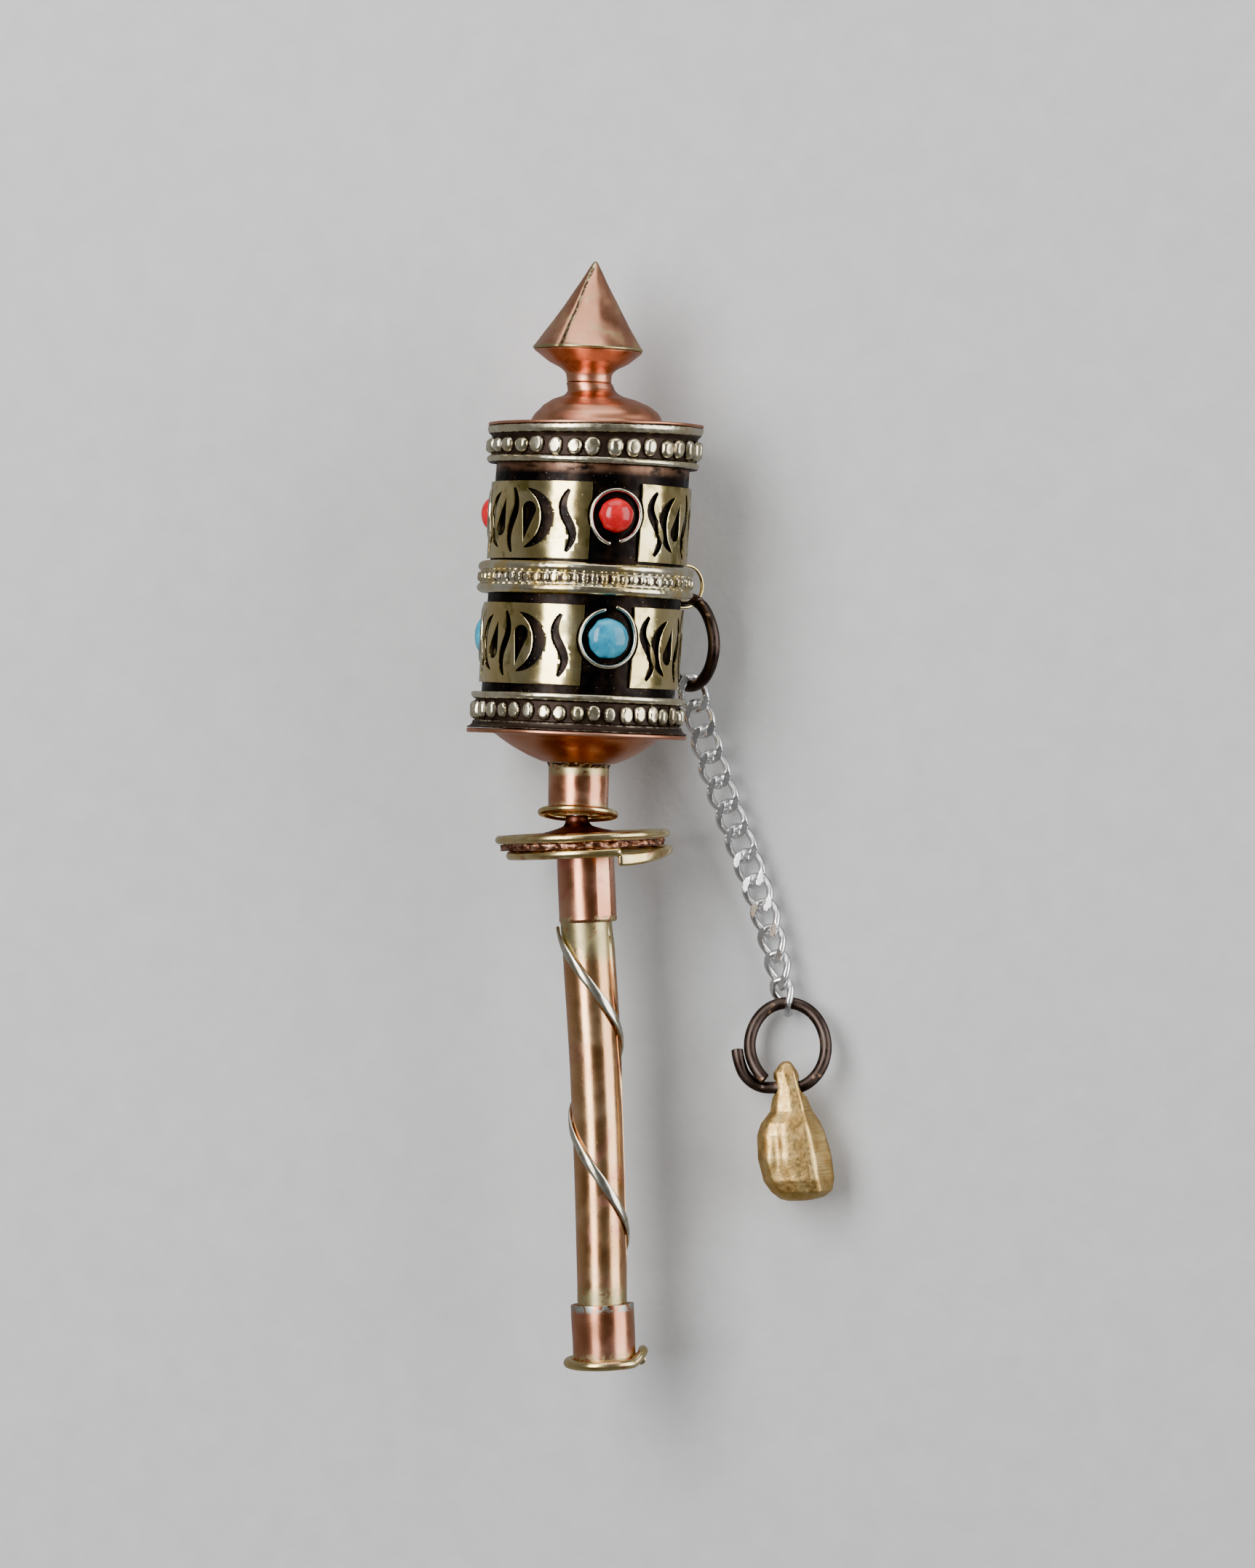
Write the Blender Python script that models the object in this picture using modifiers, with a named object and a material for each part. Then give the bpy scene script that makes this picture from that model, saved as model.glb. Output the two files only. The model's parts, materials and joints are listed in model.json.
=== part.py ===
"""A small hand-held prayer wheel of copper and brass, with a chain and a cast weight.

Frame: +Z runs up the handle, -Y is the front, and the origin is the centre of the
pommel stone's flat crown, on the handle's axis. Lengths below are in millimetres.
The drum leans loosely on its spindle, so everything above the neck is built
straight, in the frame of an empty that carries the lean.
"""
import math

import bmesh
import bpy
from mathutils import Matrix, Vector

MM = 0.001
GAP = 0.05

# driving dimensions
HANDLE_R_BOTTOM = 3.85
HANDLE_R_TOP = 4.05
SHEET = 0.45
FERRULE_R = 4.9
LOWER_FERRULE_TOP = 10.4
UPPER_FERRULE_R = 4.5
UPPER_FERRULE_BOTTOM = 70.1
GUARD_BOTTOM = 81.75
GUARD_R = 13.0
GUARD_SHEET = 0.95
GUARD_WIRE_R = 0.72
POMMEL_WIRE_R = 0.75
COLLAR_WIRE_R = 0.575

PIVOT_X = -0.75
PIVOT_Z = 86.0
LEAN = math.radians(4.7)
ROD_R = 1.1
NECK_BORE_R = 1.35

# heights on the drum are above the pivot, along the drum's own axis
BASE_Z = 13.2
WALL_R = 15.1
BAND_BORE_R = 15.2
BASE_BAND_TOP = BASE_Z + 6.4
LOWER_PLAQUES = (BASE_Z + 7.8, BASE_Z + 20.3)
MID_BAND = (BASE_Z + 21.8, BASE_Z + 26.8)
UPPER_PLAQUES = (BASE_Z + 27.2, BASE_Z + 39.2)
LID_BAND = (BASE_Z + 42.1, BASE_Z + 48.7)
WALL_TOP = BASE_Z + 45.5
FLANGE_Z = BASE_Z + 48.75
NECK_Z = BASE_Z + 55.3
CUP_TOP = BASE_Z + 60.2
TIP_Z = BASE_Z + 74.2

STONE_AZIMUTH = math.radians(16.3)
THIRD = math.radians(120)
PLAQUE_R = 15.35
PLAQUE_SHEET = 0.25
PLAQUE_SPAN = math.radians(90.5)
CORAL = {"height": BASE_Z + 34.3, "radius": 2.7, "rise": 2.3, "bezel": 3.95}
TURQUOISE = {"height": BASE_Z + 15.2, "radius": 3.2, "rise": 2.0, "bezel": 4.4}
BEZEL_WIRE_R = 0.35

EYELET_AZIMUTH = math.radians(127)
EYELET_WIRE_R = 0.3
EYELET_BEND_R = 3.3
EYELET_CENTRE = (19.7, BASE_Z + 24.3)

RING_WIRE_R = 0.95
UPPER_RING = (6.3, 6.9)
LOWER_RING = (6.0, 6.95)
LOWER_RING_TILT = math.radians(16)
LINKS = 13
LINK_PITCH = 4.2
LINK_WIRE_R = 0.575
LINK_HALF_WIDTH = 1.72
LINK_HALF_LENGTH = (LINK_PITCH + 2 * LINK_WIRE_R + 0.14) / 2
LINK_TWIST = math.radians(45)
RING_TO_LINK = LINK_HALF_LENGTH - RING_WIRE_R - LINK_WIRE_R - 0.08

WEIGHT_TOP = 4.4
WEIGHT_BOTTOM = -17.6
LUG_BORE_R = 1.6

COLOURS = {
    "copper": ((0.72, 0.38, 0.27), 0.25, 1.0),
    "red_copper": ((0.70, 0.27, 0.15), 0.25, 1.0),
    "bronze": ((0.66, 0.45, 0.27), 0.28, 1.0),
    "brass": ((0.72, 0.62, 0.36), 0.25, 1.0),
    "white_brass": ((0.66, 0.61, 0.46), 0.3, 1.0),
    "cast_brass": ((0.62, 0.47, 0.22), 0.5, 1.0),
    "dark_copper": ((0.10, 0.06, 0.045), 0.45, 1.0),
    "silver": ((0.86, 0.87, 0.88), 0.15, 1.0),
    "oxidised": ((0.10, 0.075, 0.065), 0.5, 1.0),
    "steel": ((0.5, 0.5, 0.5), 0.35, 1.0),
    "coral": ((0.72, 0.02, 0.02), 0.2, 0.0),
    "turquoise": ((0.04, 0.40, 0.60), 0.3, 0.0),
    "paper": ((0.74, 0.66, 0.50), 0.9, 0.0),
}


# ---------------------------------------------------------------- helpers
def clear_scene():
    for obj in list(bpy.data.objects):
        bpy.data.objects.remove(obj, do_unlink=True)


def collection(name):
    made = bpy.data.collections.new(name)
    bpy.context.scene.collection.children.link(made)
    return made


def material(name):
    if name in bpy.data.materials:
        return bpy.data.materials[name]
    colour, roughness, metallic = COLOURS[name]
    made = bpy.data.materials.new(name)
    made.use_nodes = True
    shader = made.node_tree.nodes["Principled BSDF"]
    shader.inputs["Base Color"].default_value = (*colour, 1.0)
    shader.inputs["Roughness"].default_value = roughness
    shader.inputs["Metallic"].default_value = metallic
    return made


def add(name, data, finish, parent=None):
    """A named object in the part's collection, under its pivot."""
    obj = bpy.data.objects.new(name, data)
    PARTS.objects.link(obj)
    obj.parent = parent
    if finish:
        data.materials.clear()
        data.materials.append(material(finish))
    return obj


def settle(obj, angle=35):
    """Turns an object with modifiers, or a curve, into a plain welded mesh."""
    bpy.context.view_layer.update()
    evaluated = obj.evaluated_get(bpy.context.evaluated_depsgraph_get())
    mesh = bpy.data.meshes.new_from_object(evaluated)
    mesh.name = obj.name
    welded = bmesh.new()
    welded.from_mesh(mesh)
    bmesh.ops.remove_doubles(welded, verts=welded.verts, dist=1e-7)
    welded.to_mesh(mesh)
    welded.free()
    mesh.shade_smooth()
    mesh.set_sharp_from_angle(angle=math.radians(angle))
    name, parent, matrix = obj.name, obj.parent, obj.matrix_world.copy()
    bpy.data.objects.remove(obj, do_unlink=True)
    plain = bpy.data.objects.new(name, mesh)
    PARTS.objects.link(plain)
    plain.parent = parent
    plain.matrix_world = matrix
    return plain


def turned(name, profile, finish, parent=None, segments=32, closed=True):
    """Spins a profile of (radius, height) points, run down its outer side, about Z."""
    mesh = bpy.data.meshes.new(name)
    points = [(radius * MM, 0, height * MM) for radius, height in profile]
    edges = [(i, i + 1) for i in range(len(points) - 1)]
    if closed:
        edges.append((len(points) - 1, 0))
    mesh.from_pydata(points, edges, [])
    obj = add(name, mesh, finish, parent)
    screw = obj.modifiers.new("turn", "SCREW")
    screw.steps = screw.render_steps = segments
    screw.use_merge_vertices = True
    screw.merge_threshold = 1e-6
    return settle(obj)


def tube(name, outer, inner, bottom, top, finish, parent=None, segments=32):
    return turned(name, [(outer, top), (outer, bottom), (inner, bottom), (inner, top)],
                  finish, parent, segments)


def wire(name, points, radius, finish, parent=None, cyclic=False, sides=8):
    """A round wire along a line of points, with its ends capped."""
    data = bpy.data.curves.new(name, "CURVE")
    data.dimensions = "3D"
    data.bevel_depth = radius * MM
    data.bevel_resolution = (sides - 4) // 2
    data.use_fill_caps = True
    spline = data.splines.new("POLY")
    spline.points.add(len(points) - 1)
    for point, place in zip(spline.points, points):
        point.co = (*(Vector(place) * MM), 1.0)
    spline.use_cyclic_u = cyclic
    return settle(add(name, data, finish, parent))


def ease(value):
    value = min(1.0, max(0.0, value))
    return value * value * (3 - 2 * value)


def empty_at(name, matrix, parent=None):
    """An empty at a world matrix."""
    empty = bpy.data.objects.new(name, None)
    empty.empty_display_size = 4 * MM
    PARTS.objects.link(empty)
    carry(empty, matrix, parent)
    bpy.context.view_layer.update()
    return empty


def pivot(name, place, axis, parent):
    """An empty on a joint, in world millimetres, with its Z along the joint's axis."""
    turn = Vector(axis).to_track_quat("Z", "Y").to_matrix().to_4x4()
    return empty_at(name, Matrix.Translation(Vector(place) * MM) @ turn, parent)


def carry(obj, matrix, parent):
    """Puts an object at a world matrix under its pivot."""
    obj.parent = parent
    bpy.context.view_layer.update()
    obj.matrix_world = matrix
    return obj


def circle_points(radius, height, count, start=0.0, sweep=math.tau):
    steps = count if sweep >= math.tau else count - 1
    return [
        (radius * math.cos(start + sweep * i / steps),
         radius * math.sin(start + sweep * i / steps), height)
        for i in range(count)
    ]


# ---------------------------------------------------------------- handle
def pommel_stone():
    crown = 1.7
    profile = [(0, 1.2), (2.9, 1.2), (2.9, 0.75), (2.5, 0.3), (crown, 0), (0, 0)]
    turned("pommel_stone", profile, "coral", segments=24, closed=False)


def pommel_ring():
    """A wire ring round the ferrule's foot, whose last bit rides over its start."""
    centre, height, count = FERRULE_R + GAP + POMMEL_WIRE_R, 1.2, 30
    points = []
    for i in range(count):
        turn = math.radians(-2 + 372 * i / (count - 1))
        over = ease((math.degrees(turn) - 318) / 40)
        radius = centre + 0.4 * over
        droop = 0.35 * math.sin(turn)
        points.append((radius * math.cos(turn), radius * math.sin(turn),
                       height + droop + 2.05 * POMMEL_WIRE_R * over))
    wire("pommel_ring", points, POMMEL_WIRE_R, "brass", sides=6)


def lower_ferrule():
    floor, sheet = 1.25, 0.5
    inner = FERRULE_R - sheet
    profile = [
        (0, floor + 0.6), (inner, floor + 0.6), (inner, LOWER_FERRULE_TOP),
        (FERRULE_R, LOWER_FERRULE_TOP), (FERRULE_R, floor + 0.3), (FERRULE_R - 0.3, floor),
        (0, floor),
    ]
    turned("lower_ferrule", profile, "copper", closed=False)


def handle_tube():
    bottom, top = 1.9, GUARD_BOTTOM - GAP
    profile = [
        (HANDLE_R_TOP, top), (HANDLE_R_BOTTOM, bottom),
        (HANDLE_R_BOTTOM - SHEET, bottom), (HANDLE_R_TOP - SHEET, top),
    ]
    turned("handle_tube", profile, "bronze")


def handle_radius(height):
    share = height / (GUARD_BOTTOM - GAP)
    return HANDLE_R_BOTTOM + (HANDLE_R_TOP - HANDLE_R_BOTTOM) * share


def spiral_wire():
    """A flattened wire wound down the handle, and steeper across its front."""
    top, pitch, steeper, turns = 69.4, 30.2, 2.8, 1.72
    half_width, thick, count = 0.55, 0.6, 52
    mesh = bpy.data.meshes.new("spiral_wire")
    built = bmesh.new()
    rows = []
    for i in range(count):
        wound = math.tau * turns * i / (count - 1)
        angle = math.pi + wound
        height = top - pitch * wound / math.tau - steeper * (1 - math.cos(wound)) / 2
        slope = pitch / math.tau + steeper * math.sin(wound) / 2
        inner = handle_radius(height) + GAP
        lift = Vector((-math.sin(angle), math.cos(angle), 0)) * handle_radius(height)
        along = (lift - Vector((0, 0, slope))).normalized()
        out = Vector((math.cos(angle), math.sin(angle), 0))
        side = along.cross(out).normalized()
        row = []
        for reach, across in ((inner, -1), (inner, 1), (inner + thick, 1), (inner + thick, -1)):
            place = out * reach + side * half_width * across + Vector((0, 0, height))
            row.append(built.verts.new(place * MM))
        rows.append(row)
    for upper, lower in zip(rows, rows[1:]):
        for k in range(4):
            built.faces.new((upper[k], upper[(k + 1) % 4], lower[(k + 1) % 4], lower[k]))
    built.faces.new(rows[0])
    built.faces.new(reversed(rows[-1]))
    bmesh.ops.recalc_face_normals(built, faces=built.faces)
    built.to_mesh(mesh)
    built.free()
    add("spiral_wire", mesh, "silver")


def press_flat(obj, azimuth, distance):
    """Presses the part of a round wall beyond a vertical plane flat onto it."""
    out = Vector((math.sin(azimuth), -math.cos(azimuth), 0))
    for vertex in obj.data.vertices:
        beyond = vertex.co.dot(out) - distance * MM
        if beyond > 0:
            vertex.co -= out * beyond


def upper_ferrule():
    top, inner = GUARD_BOTTOM - GAP, UPPER_FERRULE_R - 0.35
    profile = [
        (UPPER_FERRULE_R, top), (UPPER_FERRULE_R, UPPER_FERRULE_BOTTOM + 0.5),
        (UPPER_FERRULE_R - 0.1, UPPER_FERRULE_BOTTOM), (inner, UPPER_FERRULE_BOTTOM),
        (inner, top),
    ]
    ferrule = turned("upper_ferrule", profile, "copper", segments=40)
    press_flat(ferrule, math.radians(38), UPPER_FERRULE_R - 0.15)


def guard():
    top = GUARD_BOTTOM + GUARD_SHEET
    tube("guard_disc", GUARD_R, 3.0, GUARD_BOTTOM, top, "copper", segments=36)
    ring = circle_points(GUARD_R - 0.05, top + GAP + GUARD_WIRE_R, 36,
                         math.radians(4), math.radians(354))
    wire("guard_ring_upper", ring, GUARD_WIRE_R, "brass", sides=6)

    # the lower ring sits off centre, and is cut at the front right, where its end droops
    count, points, offset = 36, [], 1.0
    for i in range(count):
        turn = math.radians(-68 + 354 * i / (count - 1))
        droop = 1.35 * ease(1 - (math.degrees(turn) + 68) / 75)
        points.append(((GUARD_R - 0.65) * math.cos(turn) + offset,
                       (GUARD_R - 0.65) * math.sin(turn),
                       GUARD_BOTTOM - GAP - GUARD_WIRE_R - droop))
    wire("guard_ring_lower", points, GUARD_WIRE_R, "brass", sides=6)


def neck_cone():
    """A flared copper neck on the guard; its bore holds the spindle's foot loosely."""
    foot, top = GUARD_BOTTOM + GUARD_SHEET + GAP, PIVOT_Z + 0.8
    profile = [
        (1.7, top), (1.75, top - 0.9), (2.2, top - 1.6), (3.8, top - 2.15), (6.8, top - 2.85),
        (8.6, top - 3.55), (8.9, foot), (8.3, foot), (6.5, top - 3.35), (3.6, top - 2.65),
        (2.0, top - 2.2), (NECK_BORE_R, top - 1.5), (NECK_BORE_R, top),
    ]
    cone = turned("neck_cone", profile, "red_copper", segments=20)
    cone.location.x = PIVOT_X * MM


# ---------------------------------------------------------------- spindle
def spindle(parent):
    """A straight rod on a ball foot, with the shoulder that carries the drum."""
    ball_r, ball_z, ring_z, top = 1.5, -2.7, 1.2, BASE_Z + 47.0
    arc = [(ball_r * math.cos(math.radians(a)), ball_z + ball_r * math.sin(math.radians(a)))
           for a in range(40, -90, -22)]
    profile = [
        (0, top), (ROD_R - 0.3, top), (ROD_R, top - 0.3), (ROD_R, ring_z + 0.6),
        (1.85, ring_z + 0.6), (1.85, ring_z), (ROD_R, ring_z), (ROD_R, -1.6),
        *arc, (0, ball_z - ball_r),
    ]
    turned("spindle", profile, "steel", parent, segments=16, closed=False)
    tube("thrust_washer", 3.2, ROD_R + 0.08, ring_z + 0.65, ring_z + 1.05, "brass",
         parent, segments=16)
    nut = BASE_Z + 44.1
    tube("retaining_nut", 2.7, ROD_R + 0.05, nut, nut + 2.0, "brass", parent, segments=12)


# ---------------------------------------------------------------- drum
def drum_shell(parent):
    rim, foot = BASE_Z + 0.7, BASE_Z - 4.2
    base = [
        (17.2, rim), (17.2, BASE_Z), (12.3, BASE_Z), (11.6, BASE_Z - 1.0),
        (10.3, BASE_Z - 2.5), (8.7, BASE_Z - 3.6), (6.8, foot), (2.1, foot), (2.1, foot + 0.6),
        (6.6, foot + 0.6), (8.3, foot + 1.1), (9.8, foot + 2.2), (11.0, foot + 3.7), (11.6, rim),
    ]
    turned("drum_base", base, "copper", parent)
    tube("drum_wall", WALL_R, WALL_R - 0.5, rim + GAP, WALL_TOP, "dark_copper", parent)
    tube("core_tube", 1.95, ROD_R + 0.1, 2.3, BASE_Z + 44.0, "brass", parent, segments=16)
    tube("prayer_scroll", 13.9, 2.3, BASE_Z + 1.4, BASE_Z + 41.3, "paper", parent)
    collar = [
        (5.1, foot - GAP), (4.75, foot - 0.5), (4.7, 1.7), (5.05, 0.9), (4.7, 0.9), (4.3, 1.7),
        (4.3, foot - GAP),
    ]
    turned("collar_tube", collar, "copper", parent, segments=24)
    tilt = math.radians(-8)
    ring = [(x, y, z + y * math.sin(tilt))
            for x, y, z in circle_points(5.75, 1.15, 26, math.radians(6), math.radians(350))]
    wire("collar_ring", ring, COLLAR_WIRE_R, "brass", parent, sides=6)


def band(name, bottom, top, steps, parent, finish="white_brass"):
    """A pressed band round the wall; steps are (radius, height down from its top)."""
    profile = [(BAND_BORE_R, top)] + [(radius, top - drop) for radius, drop in steps]
    turned(name, profile + [(BAND_BORE_R, bottom)], finish, parent)


def drum_bands(parent):
    base_bottom = BASE_Z + 0.7 + GAP
    depth = BASE_BAND_TOP - base_bottom
    band("base_band", base_bottom, BASE_BAND_TOP, (
        (16.6, 0), (16.6, 0.6), (15.95, 1.1), (16.85, 2.0), (16.85, 3.6),
        (15.95, 4.4), (17.2, depth - 0.2), (17.2, depth)), parent)
    depth = MID_BAND[1] - MID_BAND[0]
    band("mid_band", *MID_BAND, (
        (16.5, 0), (16.85, 0.5), (16.85, 0.95), (16.5, 1.5), (16.5, 3.5),
        (16.85, 4.05), (16.85, 4.5), (16.5, depth)), parent)


def lid(parent):
    depth = LID_BAND[1] - LID_BAND[0]
    band("lid_band", *LID_BAND, (
        (16.7, 0), (16.7, 0.4), (16.15, 1.1), (17.05, 2.3), (17.05, 3.9), (16.15, 4.8),
        (16.5, 5.4), (16.5, depth - 0.3), (16.2, depth)), parent)
    dome = FLANGE_Z + 0.5
    cap = [
        (3.6, NECK_Z - GAP), (3.85, NECK_Z - 0.9), (5.4, NECK_Z - 1.8),
        (8.0, NECK_Z - 2.8), (9.9, NECK_Z - 4.3), (11.0, dome), (16.7, dome),
        (16.7, FLANGE_Z), (10.2, FLANGE_Z), (9.3, NECK_Z - 4.7), (7.6, NECK_Z - 3.3),
        (4.6, NECK_Z - 2.1), (3.2, NECK_Z - 1.0), (3.1, NECK_Z - GAP),
    ]
    turned("lid_cap", cap, "copper", parent)
    cup = [
        (8.6, CUP_TOP), (6.2, CUP_TOP - 1.9), (4.4, CUP_TOP - 2.8), (3.6, CUP_TOP - 3.5),
        (3.5, CUP_TOP - 4.2), (3.6, NECK_Z), (3.1, NECK_Z), (3.0, CUP_TOP - 3.6),
        (4.0, CUP_TOP - 2.3), (5.9, CUP_TOP - 1.4), (7.9, CUP_TOP),
    ]
    turned("finial_cup", cup, "red_copper", parent, segments=24)
    foot = CUP_TOP + GAP
    cone = [
        (0, TIP_Z), (0.35, TIP_Z - 0.15), (0.6, TIP_Z - 0.6), (4.3, TIP_Z - 7.1),
        (8.3, foot + 0.7), (8.6, foot + 0.25), (8.5, foot), (8.0, foot), (7.75, foot + 0.7),
        (3.8, TIP_Z - 7.1), (0, TIP_Z - 1.4),
    ]
    turned("finial_cone", cone, "copper", parent, segments=24, closed=False)


# ---------------------------------------------------------------- ornaments
def arc(centre, radius, start, end, count):
    """Points on a flat arc; the angles are in degrees."""
    return [
        (centre[0] + radius * math.cos(math.radians(start + (end - start) * i / (count - 1))),
         centre[1] + radius * math.sin(math.radians(start + (end - start) * i / (count - 1))))
        for i in range(count)
    ]


def slot(centre, length, width, lean=0.0):
    """A round-ended slot, upright unless it leans."""
    half, r = (length - width) / 2, width / 2
    loop = arc((0, half), r, 0, 180, 3) + arc((0, -half), r, 180, 360, 3)
    turn = Matrix.Rotation(math.radians(lean), 2)
    return [tuple(turn @ Vector(p) + Vector(centre)) for p in loop]


def crescent(centre, radius, width, start, end):
    """A curved slot that tapers to both ends."""
    outer = arc(centre, radius, start, end, 6)
    inner = arc(centre, radius - width, end - 8, start + 8, 4)
    return outer + inner


def plaque_outline(height, notch_height, notch_r):
    """A plate whose ends are hollowed round the stones beside it."""
    half = PLAQUE_R * PLAQUE_SPAN / 2
    stone = PLAQUE_R * THIRD / 2
    rise = math.degrees(math.acos((stone - half) / notch_r))
    right = arc((stone, notch_height), notch_r, 180 + rise, 180 - rise, 5)
    left = arc((-stone, notch_height), notch_r, rise, -rise, 5)
    return [(-half, 0), (half, 0), *right, (half, height), (-half, height), *left]


def plaque(name, bottom, top, stone, azimuth, parent):
    """A thin pierced plate, drawn flat with its cut-outs and bent round the wall."""
    height = top - bottom
    notch = stone["height"] - bottom
    loops = [plaque_outline(height, notch, stone["bezel"] + BEZEL_WIRE_R + 0.2)]
    middle = height / 2
    loops += [
        slot((-8.8, middle), 8.0, 1.2),
        crescent((-2.6, middle), 3.6, 1.5, 60, 300),
        crescent((2.6, middle), 3.6, 1.5, -120, 120),
        slot((8.8, middle), 8.0, 1.2),
    ]
    data = bpy.data.curves.new(name, "CURVE")
    data.dimensions = "2D"
    data.fill_mode = "BOTH"
    data.extrude = PLAQUE_SHEET / 2 * MM
    for loop in loops:
        spline = data.splines.new("POLY")
        spline.points.add(len(loop) - 1)
        for point, (x, y) in zip(spline.points, loop):
            point.co = (x * MM, y * MM, 0, 1)
        spline.use_cyclic_u = True
    flat = settle(add(name, data, "brass", parent))

    bent = bmesh.new()
    bent.from_mesh(flat.data)
    half = PLAQUE_R * PLAQUE_SPAN / 2
    cuts = 6
    for i in range(1, cuts):
        place = Vector(((-half + 2 * half * i / cuts) * MM, 0, 0))
        bmesh.ops.bisect_plane(bent, geom=bent.verts[:] + bent.edges[:] + bent.faces[:],
                               plane_co=place, plane_no=(1, 0, 0), dist=1e-6)
    for vertex in bent.verts:
        angle = vertex.co.x / (PLAQUE_R * MM)
        reach = PLAQUE_R * MM + PLAQUE_SHEET / 2 * MM + vertex.co.z
        vertex.co = (reach * math.sin(angle), -reach * math.cos(angle),
                     bottom * MM + vertex.co.y)
    bmesh.ops.recalc_face_normals(bent, faces=bent.faces)
    bent.to_mesh(flat.data)
    bent.free()
    flat.rotation_euler.z = azimuth


def stone(name, kind, azimuth, finish, parent):
    """A cabochon on the wall, turned on its own axis and laid to point outwards."""
    radius, rise, count = kind["radius"], kind["rise"], 5
    dome = [(radius * math.sin(math.radians(90 * i / count)),
             0.4 + (rise - 0.4) * math.cos(math.radians(90 * i / count)))
            for i in range(count + 1)]
    laid = turned(name, dome + [(radius, 0), (0, 0)], finish, parent, 14, closed=False)
    laid.rotation_euler = (math.radians(90), 0, azimuth)
    out = WALL_R + GAP
    laid.location = (out * math.sin(azimuth) * MM, -out * math.cos(azimuth) * MM,
                     kind["height"] * MM)


def bezel(name, kind, azimuth, opening, parent):
    """An open wire collar round a stone; opening is the direction its ends face."""
    count, points = 15, []
    reach = WALL_R + GAP + BEZEL_WIRE_R
    for i in range(count):
        share = i / (count - 1)
        turn = math.radians(opening + 13 + 334 * share)
        flare = 0.35 * ease(abs(2 * share - 1) * 4 - 3)
        radius = kind["bezel"] + flare
        side, rise = radius * math.cos(turn), radius * math.sin(turn)
        angle = side / reach
        points.append((reach * math.sin(angle), -reach * math.cos(angle),
                       kind["height"] + rise))
    ring = wire(name, points, BEZEL_WIRE_R, "silver", parent, sides=6)
    ring.rotation_euler.z = azimuth


def ornaments(parent):
    for i in range(3):
        azimuth = STONE_AZIMUTH + i * THIRD
        middle = azimuth + THIRD / 2
        plaque(f"plaque_upper_{i + 1}", *UPPER_PLAQUES, CORAL, middle, parent)
        plaque(f"plaque_lower_{i + 1}", *LOWER_PLAQUES, TURQUOISE, middle, parent)
        stone(f"coral_{i + 1}", CORAL, azimuth, "coral", parent)
        stone(f"turquoise_{i + 1}", TURQUOISE, azimuth, "turquoise", parent)
        bezel(f"bezel_upper_{i + 1}", CORAL, azimuth, 270, parent)
        bezel(f"bezel_lower_{i + 1}", TURQUOISE, azimuth, 90, parent)


def eyelet(parent):
    """A wire staple over the middle band, that the chain's ring hangs in."""
    reach, height = EYELET_CENTRE
    bend = arc((reach, height), EYELET_BEND_R, 90, -90, 11)
    path = [(WALL_R + 0.1, height + EYELET_BEND_R), *bend, (WALL_R + 0.1, height - EYELET_BEND_R)]
    points = [(0, -r, z) for r, z in path]
    staple = wire("eyelet", points, EYELET_WIRE_R, "brass", parent, sides=6)
    staple.rotation_euler.z = EYELET_AZIMUTH


# ---------------------------------------------------------------- chain
def oval(half_width, half_height, start, end, count, spread=lambda degrees: 0.0):
    """Points of an upright oval in the XZ plane, with an optional outward spread."""
    points = []
    for i in range(count):
        degrees = start + (end - start) * i / (count - 1)
        turn, out = math.radians(degrees), spread(degrees)
        points.append(((half_width + out) * math.cos(turn), 0,
                       (half_height + out) * math.sin(turn)))
    return points


def hang_point():
    """Where the upper ring's wire crosses the eyelet, in world millimetres."""
    reach, height = EYELET_CENTRE
    local = Vector((reach * math.sin(EYELET_AZIMUTH), -reach * math.cos(EYELET_AZIMUTH),
                    height))
    centre = Matrix.Rotation(LEAN, 3, "Y") @ local + Vector((PIVOT_X, 0, PIVOT_Z))
    drop = EYELET_BEND_R - EYELET_WIRE_R - RING_WIRE_R - 0.12
    return centre, centre - Vector((0, 0, drop))


def link_mesh():
    """A curb link: an oval wire loop, twisted about its length."""
    count, points = 16, []
    reach = LINK_HALF_LENGTH / math.cos(math.pi / count)
    for i in range(count):
        turn = math.tau * (i + 0.5) / count
        along = reach * math.cos(turn)
        side = LINK_HALF_WIDTH * math.copysign(abs(math.sin(turn)) ** 0.7, math.sin(turn))
        twist = LINK_TWIST * along / LINK_HALF_LENGTH
        points.append((side * math.cos(twist), side * math.sin(twist), along))
    pattern = wire("link_pattern", points, LINK_WIRE_R, "silver", cyclic=True, sides=6)
    mesh = pattern.data
    bpy.data.objects.remove(pattern, do_unlink=True)
    return mesh


def chain_path(start, share):
    """The chain's line as it lies: out to the right, down, and back to one plane."""
    fall, drift, bow, sway, settle_depth = 50.6, 12.8, 0.5, 0.6, 3.6
    start_depth = settle_depth * ease(0.12 / 0.72)
    along = math.pi * min(share, 1.0)
    return start + Vector((
        drift * share + bow * math.sin(along) - sway * math.sin(2 * along),
        settle_depth * ease((share + 0.12) / 0.72) - start_depth,
        -fall * share,
    ))


def next_on_path(start, share, distance):
    """The share of the path that lies a straight distance further on."""
    here, low, high = chain_path(start, share), share, share + 0.2
    for _ in range(40):
        middle = (low + high) / 2
        if (chain_path(start, middle) - here).length < distance:
            low = middle
        else:
            high = middle
    return (low + high) / 2


def link_frame(place, down, roll):
    """A link's world matrix: its Z up the chain, its X to the side, then rolled."""
    up = -down.normalized()
    side = Vector((0, 1, 0)).cross(up).normalized()
    depth = up.cross(side)
    turn = Matrix((side, depth, up)).transposed().to_4x4()
    return Matrix.Translation(place * MM) @ turn @ Matrix.Rotation(roll, 4, "Z")


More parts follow.
